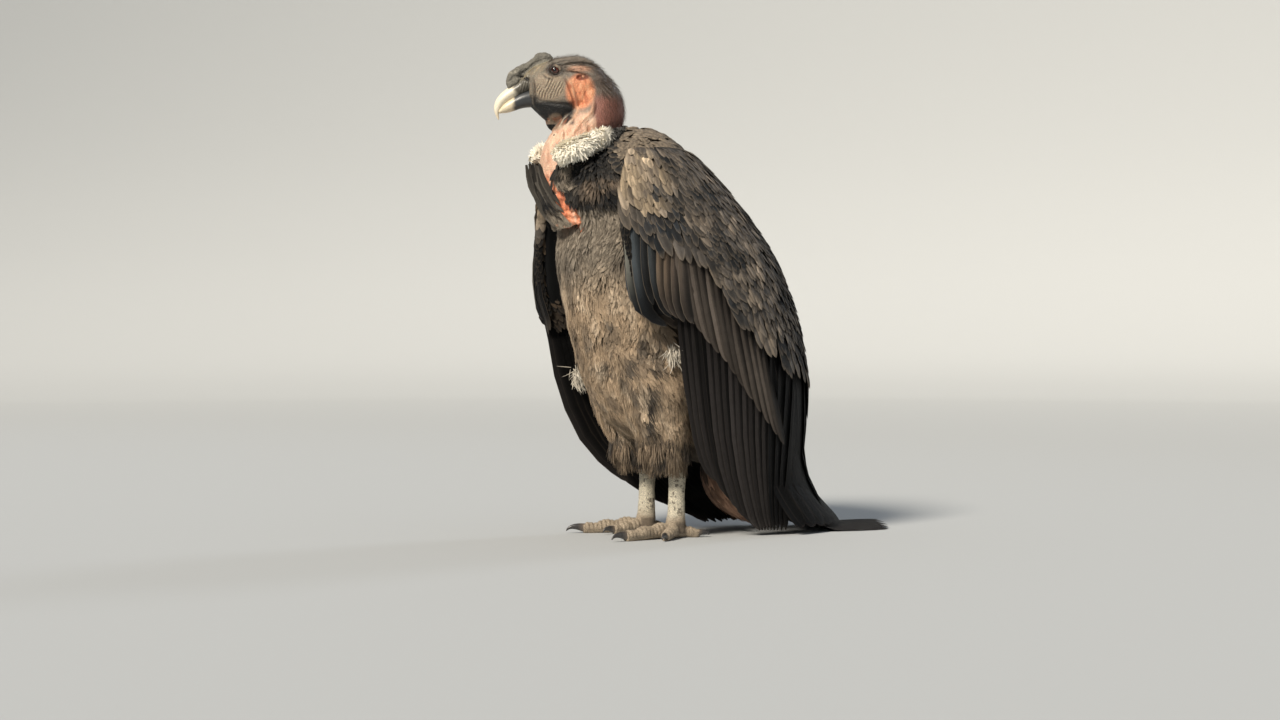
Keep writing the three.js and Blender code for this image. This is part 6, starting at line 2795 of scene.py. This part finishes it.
@dataclass
class HeadPieces:
    """The eyes, their lids, the comb, the bill and the short bristles."""

    comb_tone: Rgb = (110, 106, 96)
    comb_pale: Rgb = (168, 161, 146)
    ivory: Rgb = (238, 228, 204)
    cere: Rgb = (92, 87, 76)
    tan: Rgb = (226, 210, 180)
    lower_base: Rgb = (58, 60, 62)
    # The nostril openings are painted near black: painted shade inside them.
    nostril: Rgb = (14, 12, 12)

    def eyes(self) -> None:
        """Builds and dresses the eyeballs."""
        for side in Side:
            centre = (head_point(0, side.value * EYE_OUT, 0) + SHIFT) * MM
            radius = EYE_RADIUS * MM
            bpy.ops.mesh.primitive_uv_sphere_add(segments=64, ring_count=40, radius=radius, location=centre)
            eye = bpy.context.active_object
            eye.name = f"eyeball_{side.label}"
            select_only(eye)
            bpy.ops.object.transform_apply(location=True, rotation=True, scale=True)
            bpy.ops.object.shade_smooth()
            aim = unit(HEAD_LEFT * side.value + 0.22 * HEAD_FORWARD + 0.05 * UP)
            gloss = EyeGloss(f"eye_gloss_{side.label}", tuple(centre), tuple(aim)).material()
            finish_piece(eye, gloss, "eye", f"eye_{side.label}")

    def lids(self, hide: Finish) -> None:
        """Builds and dresses the rims of the lids, which hug the eyeballs.

        Args:
            hide: Their finish.
        """
        for side in Side:
            parts = []
            for reach, thick, rise in ((6.9, 1.25, 0.55), (9.2, 1.15, -0.35)):
                turn = np.linspace(0, 2 * math.pi, 72, endpoint=False)
                f = reach * 1.1 * np.cos(turn) - 0.35 * reach * np.abs(np.sin(turn)) * 0.2
                u = reach * 0.84 * np.sin(turn) + 0.12 * f
                flat = np.minimum(np.hypot(f, u), EYE_RADIUS * 1.02)
                out = EYE_OUT + np.sqrt((EYE_RADIUS + 1.9) ** 2 - flat**2) + rise - 1.1
                centres = head_point(f, side.value * out, u)
                along = unit(np.roll(centres, -1, 0) - np.roll(centres, 1, 0))
                facing = np.tile(HEAD_LEFT * side.value, (72, 1))
                across = unit(np.cross(along, facing))
                size = thick * (1 + 0.25 * np.sin(turn * 7 + reach)) * mix(1.25, 0.85, smoothstep(u, 4, -4))
                ring = ovals(centres, across, facing, size, size, size, 12)
                parts.append(self.closed_ring(f"lid_{reach}", ring))
            obj = join_objects(f"lids_{side.label}", parts)
            points = mesh_points(obj)
            f, _, u = head_places(points)
            rear = smoothstep(f - u, -2, -9)
            pale = 0.8 * rear * smoothstep(np.hypot(f, u), 10.5, 7.5)
            paint_piece(obj, lay(linear((62, 52, 45)), (178, 158, 136), pale), 80)
            finish_piece(obj, hide, "face_skin")

    @staticmethod
    def closed_ring(name: str, rings: Array) -> Piece:
        """A tube that closes on itself, through rings of points."""
        count, around = rings.shape[:2]
        i, k = np.meshgrid(np.arange(count), np.arange(around), indexing="ij")
        i1, k1 = (i + 1) % count, (k + 1) % around
        quads = np.stack([i * around + k, i1 * around + k, i1 * around + k1, i * around + k1], -1)
        obj = new_object(name, rings.reshape(-1, 3), quads.ravel(), np.full(count * around, 4))
        select_only(obj)
        bpy.ops.object.mode_set(mode="EDIT")
        bpy.ops.mesh.select_all(action="SELECT")
        bpy.ops.mesh.normals_make_consistent(inside=False)
        bpy.ops.object.mode_set(mode="OBJECT")
        return obj

    def comb(self) -> None:
        """Builds and dresses the comb."""
        count, around = 110, 96
        f = np.linspace(COMB[0][0], COMB[-1][0], count)
        centre, high, wide = np.moveaxis(SmoothTable(COMB)(f), -1, 0)
        along = np.linspace(0, 1, count)[:, None]
        angle = (np.arange(around) / around * 2 * math.pi)[None]
        lump = 1 + 0.05 * np.sin(along * 17 + 2 * angle) + 0.025 * np.sin(along * 41)
        pinch = 1 - 0.28 * np.exp(-((np.sin(angle) / 0.28) ** 2))
        out = wide[:, None] * lump * pinch * np.cos(angle)
        up = centre[:, None] + high[:, None] * lump * np.sin(angle)
        obj = loft("comb_lobe", head_point(f[:, None] + 0 * out, out, up))
        points = mesh_points(obj)
        rough = 1.0 * NOISE(points, 9.0) + 0.5 * NOISE(points, 3.6) + 0.3 * NOISE(points, 1.9)
        fp, outp, upp = head_places(points)
        hole = np.exp(-(((fp - 52) / 4.2) ** 2) - ((upp + 9) / 2.6) ** 2) * smoothstep(np.abs(outp), 3, 7)
        push_out(obj, rough - 4.5 * hole)
        line = np.interp(fp, [2, 14, 33, 50, 68, 77], [12, 12, 5, -9, -22, -25])
        base = smoothstep(upp - line, 5, -1)
        # Paler on the relief's bumps: painted highlight.
        tone = lay(linear(self.comb_tone), self.comb_pale, smoothstep(rough, 0.2, 1.6))
        tone = lay(tone, (176, 160, 126), 0.75 * base * smoothstep(fp, 60, 40))
        # Darker in the relief's hollows: painted shade.
        tone = lay(tone, (52, 48, 44), 0.8 * smoothstep(rough, -0.6, -1.5))
        # painted shade in the nostril opening
        tone = lay(tone, self.nostril, smoothstep(hole, 0.2, 0.6))
        finish_piece(paint_piece(obj, tone, 80), CombSkin().material(), "comb_skin", "comb")

    def bill_half(self, name: str, rows: list[tuple[float, ...]], ridge: float) -> Piece:
        """One half of the bill.

        Args:
            name: The piece's name.
            rows: Its path and sizes.
            ridge: How far the ovals narrow to a keel on top.

        Returns:
            The new object.
        """
        table = path_table(rows)(np.linspace(0, 1, 120))
        centres = head_point(table[:, 0], 0 * table[:, 0], table[:, 1])
        rings = sweep_rings(centres, table[:, 3], table[:, 2], HEAD_LEFT, 96)
        offset = rings - centres[:, None]
        out = offset @ HEAD_LEFT
        lift = np.linalg.norm(offset - out[..., None] * HEAD_LEFT, axis=-1) / table[:, 2][:, None]
        rings = rings - (ridge * lift**2 * out)[..., None] * HEAD_LEFT
        return loft(name, rings)

    def bill(self, horn: Finish) -> None:
        """Builds and dresses both halves of the bill, with the nostrils.

        Args:
            horn: Their finish.
        """
        upper = self.bill_half("upper_bill", UPPER_BILL, 0.25)
        points = mesh_points(upper)
        f, out, u = head_places(points)
        ahead, above = f - 46, u + 12
        along, across = ahead * 0.78 + above * 0.62, ahead * -0.62 + above * 0.78
        slot = np.exp(-((along / 7.5) ** 2) - (across / 2.6) ** 2) * smoothstep(np.abs(out), 4, 8)
        soft = smoothstep(f, 62, 50)
        wrinkle = 0.5 * soft * np.sin(f * 1.5 + 0.4 * u) + 0.3 * soft * NOISE(points, 4.0)
        push_out(upper, wrinkle - 3.4 * slot)
        tone = lay(linear(self.cere), (146, 136, 116), 0.8 * smoothstep(u + 0.6 * f, 14, 22))
        tone = lay(tone, self.ivory, smoothstep(f - 0.5 * u + 3 * NOISE(points, 9.0), 74, 86))
        tone = lay(tone, (226, 206, 172), 0.6 * smoothstep(u, -60, -76))
        # painted shade in the nostril opening
        tone = lay(tone, self.nostril, smoothstep(slot, 0.25, 0.6))
        finish_piece(paint_piece(upper, tone, 80), horn, "horn", "bill_upper")
        lower = self.bill_half("lower_bill", LOWER_BILL, 0.1)
        points = mesh_points(lower)
        pale = smoothstep(head_places(points)[0] + 2 * NOISE(points, 6.0), 62, 69)
        paint_piece(lower, lay(linear(self.lower_base), self.tan, pale), 80)
        finish_piece(lower, horn, "horn", "bill_lower")

    def bristles(self, hair: Finish) -> None:
        """Builds and dresses the short bristles of crown, nape and neck.

        Args:
            hair: Their finish.
        """
        coat = Coat("head_bristles", 800)
        self.scatter(coat, HeadSurface(), 3200, self.above)
        self.scatter(coat, NeckSurface(), 13000, self.behind)
        finish_piece(coat.piece(), hair, "face_skin")

    @staticmethod
    def above(_: Array, points: Array) -> Array:
        """How likely a bristle grows at places of the head: most on its crown."""
        return smoothstep(points[:, 2], EYE_HEIGHT - 10, EYE_HEIGHT + 8)

    @staticmethod
    def behind(angle: Array, points: Array) -> Array:
        """How likely a bristle grows at places of the neck: most on its back."""
        _, _, up = head_places(points)
        back = smoothstep(np.sin(angle), -0.3, 0.35)
        return back * smoothstep(points[:, 2], 640, 665) * smoothstep(up, 4, -4)

    @staticmethod
    def scatter(
        coat: Coat, surface: RoundSurface, count: int, chance: Callable[[Array, Array], Array]
    ) -> None:
        """Scatters bristles over a round surface.

        Args:
            coat: Takes them.
            surface: What they grow from.
            count: How many places are tried.
            chance: How likely one grows at an angle and place.
        """
        a = coat.random.uniform(0, 2 * math.pi, count)
        b = coat.random.uniform(2, surface.length[-1] - 12, count)
        places = surface.point(a, b)
        keep = coat.random.random(count) < chance(a, places)
        a, b, places = a[keep], b[keep], places[keep]
        many = len(a)
        root = np.stack([a, b], -1)
        tip = np.stack([a + coat.random.normal(0, 0.04, many), b + coat.random.uniform(5, 11, many)], -1)
        lie = lie_on(surface, root, tip, STRAND, 1.0, 1.6, coat.random.uniform(0.5, 5.5, many))
        tones = mix(head_tone(places), linear((62, 54, 48)), coat.random.uniform(0.25, 0.8, (many, 1)))
        coat.add(lie, coat.random.uniform(0.2, 0.36, many), STRAND, tones, surface.patch(a, b))


class HeadSurface(RoundSurface):
    """The bare head from the brow back: the rings' parameter is the place forward of the eye."""

    def __init__(self) -> None:
        """Reads the head's sections."""
        self.table = SmoothTable(HEAD)
        super().__init__(14.0, HEAD[0][0] + 0.5)

    def ring(self, angle: Array, level: Array) -> Array:
        """Places round the head."""
        centre, up, down, wide = np.moveaxis(self.table(level), -1, 0)
        rise = np.sin(angle)
        level = np.broadcast_to(level, np.shape(angle))
        return head_point(level, wide * np.cos(angle), centre + np.where(rise > 0, up, down) * rise)


# Studio


@dataclass
class Studio:
    """A pale floor that curves up all round, one large soft sun and the camera at the photo's angle."""

    azimuth: float = 65.0
    elevation: float = 1.0
    distance: float = 4.0
    target_right: float = -25.0
    target_height: float = 289.0
    scale: float = 1.65
    width_px: float = 1280.0
    sun_angle: float = 14.0
    paint: Rgb = (186, 188, 188)

    def directions(self) -> tuple[Vector, Vector]:
        """The camera's right and forward directions."""
        turn, tilt = math.radians(self.azimuth), math.radians(self.elevation)
        right = Vector((math.cos(turn), math.sin(turn), 0))
        level = Vector((-math.sin(turn), math.cos(turn), 0))
        return right, (level * math.cos(tilt) - Vector((0, 0, math.sin(tilt)))).normalized()

    def target(self) -> Vector:
        """The point in the middle of the photo."""
        right, _ = self.directions()
        return (right * self.target_right + Vector((*SHIFT[:2], self.target_height))) * MM

    def camera(self) -> None:
        """Places the camera."""
        _, forward = self.directions()
        data = bpy.data.cameras.new("camera")
        data.sensor_fit = "HORIZONTAL"
        data.angle = 2 * math.atan(self.width_px / 2 * self.scale * MM / self.distance)
        obj = bpy.data.objects.new("camera", data)
        obj.location = self.target() - forward * self.distance
        obj.rotation_euler = forward.to_track_quat("-Z", "Y").to_euler()
        bpy.context.scene.collection.objects.link(obj)
        bpy.context.scene.camera = obj

    def light(self, name: str, place: Triple, strength: float, rgb: Rgb) -> None:
        """Adds a large soft sun that aims at the bird's middle.

        Args:
            name: The light's name.
            place: Its direction: to the camera's right, towards the camera and up.
            strength: Its strength.
            rgb: Its colour as seen on a screen.
        """
        right, forward = self.directions()
        data = bpy.data.lights.new(name, "SUN")
        data.angle = math.radians(self.sun_angle)
        data.energy = strength
        data.color = tuple(linear(rgb))
        obj = bpy.data.objects.new(name, data)
        away = right * place[0] - Vector((forward.x, forward.y, 0)) * place[1] + Vector((0, 0, place[2]))
        obj.location = self.target() + away * 3
        obj.rotation_euler = (-away).to_track_quat("-Z", "Y").to_euler()
        bpy.context.scene.collection.objects.link(obj)

    def floor(self) -> None:
        """Adds the plain floor with its rim that curves up far behind the bird."""
        rows = path_table([(6.0, 0.0), (6.6, 0.03), (7.2, 0.2), (7.7, 0.7), (7.95, 1.6), (8.0, 3.4)])
        radius, height = np.moveaxis(rows(np.linspace(0, 1, 40)), -1, 0)
        around = 160
        turn = np.linspace(0, 2 * math.pi, around, endpoint=False)
        ring = np.stack([np.cos(turn), np.sin(turn)], -1)
        level = np.broadcast_to(height[:, None, None], (40, around, 1))
        points = np.concatenate([radius[:, None, None] * ring, level], -1)
        i, k = np.meshgrid(np.arange(39), np.arange(around), indexing="ij")
        nxt = (k + 1) % around
        corners = ((i, k), (i + 1, k), (i + 1, nxt), (i, nxt))
        quads = np.stack([row * around + column for row, column in corners], -1)
        loops = np.concatenate([np.arange(around), quads.ravel()])
        sizes = np.concatenate([[around], np.full(quads.size // 4, 4)])
        obj = new_object("floor", points.reshape(-1, 3) / MM, loops, sizes)
        smooth_by_angle(obj, 60)
        paint = Nodes("floor_paint").done(rgba(self.paint), Roughness=0.95, Specular_IOR_Level=0.1)
        obj.data.materials.append(paint)

    def world(self) -> None:
        """Sets the pale surroundings."""
        world = bpy.data.worlds.new("studio")
        world.use_nodes = True
        background = world.node_tree.nodes["Background"]
        background.inputs["Color"].default_value = rgba((214, 224, 236))
        background.inputs["Strength"].default_value = 0.38
        bpy.context.scene.world = world

    def build(self) -> None:
        """Sets up the whole studio."""
        self.floor()
        self.world()
        self.camera()
        self.light("key", (-0.6, 0.9, 0.9), 4.2, (255, 246, 232))
        self.light("rim", (0.9, -0.9, 0.7), 0.5, (236, 244, 255))
        bpy.context.scene.view_settings.view_transform = "Standard"


# Assembly


def main() -> None:
    """Builds every piece in order."""
    logging.basicConfig(level=logging.INFO, format="%(message)s")
    bpy.ops.object.select_all(action="DESELECT")
    Studio().build()
    feather = Plumage(
        "wing_covert", fringe_strength=0.38, blotch=0.4, centre_dark=0.5, root_shade=0.3
    ).material()
    quill = Plumage(
        "quill",
        fringe=(92, 82, 72),
        fringe_strength=0.18,
        tip_start=0.97,
        root_shade=0.7,
        shaft=(54, 48, 43),
        shaft_at=0.64,
        shaft_strength=0.5,
        barbs=150.0,
        roughness=0.6,
        specular=0.14,
        sheen=0.0,
        blotch=0.4,
        slope=0.78,
    ).material()
    edged = Plumage(
        "bright_edged_quill",
        fringe=(150, 136, 118),
        fringe_strength=0.05,
        tip_start=0.99,
        root_shade=0.85,
        shaft_at=0.64,
        edge_line=0.5,
        edge_from=0.93,
        barbs=150.0,
        roughness=0.55,
        specular=0.3,
        sheen=0.0,
        blotch=0.3,
        slope=0.62,
    ).material()
    soft = Plumage(
        "soft_plumage",
        fringe=(190, 170, 144),
        fringe_strength=0.08,
        root_shade=0.68,
        roughness=0.95,
        barbs=24.0,
        streaks=0.16,
    ).material()
    down = Plumage(
        "down",
        fringe=(255, 252, 244),
        fringe_strength=0.2,
        root_shade=0.95,
        roughness=1.0,
        sheen=0.1,
        barbs=4.0,
        barb_depth=0.00002,
        blotch=0.05,
    ).material()
    hair = Plumage("bristle", fringe_strength=0.0, root_shade=0.9, roughness=0.8, barbs=6.0).material()
    hide = Hide("bare_skin").material()
    horn = Horn("horn").material()
    claw = Horn("claw_horn", roughness=0.3, coat=0.4).material()
    scales = Scales().material()
    Skin().build(hide, soft, scales)
    BodyCoat().build_torso(soft, feather)
    BodyCoat().build_thighs(soft)
    BodyCoat().tufts(down)
    for side in Side:
        Wing(side).build(feather, quill, edged, soft)
        Leg(side).claws(claw)
    Tail().build(quill, soft)
    Collar().build(down)
    pieces = HeadPieces()
    pieces.eyes()
    pieces.lids(hide)
    pieces.comb()
    pieces.bill(horn)
    pieces.bristles(hair)


if __name__ == "__main__":
    main()
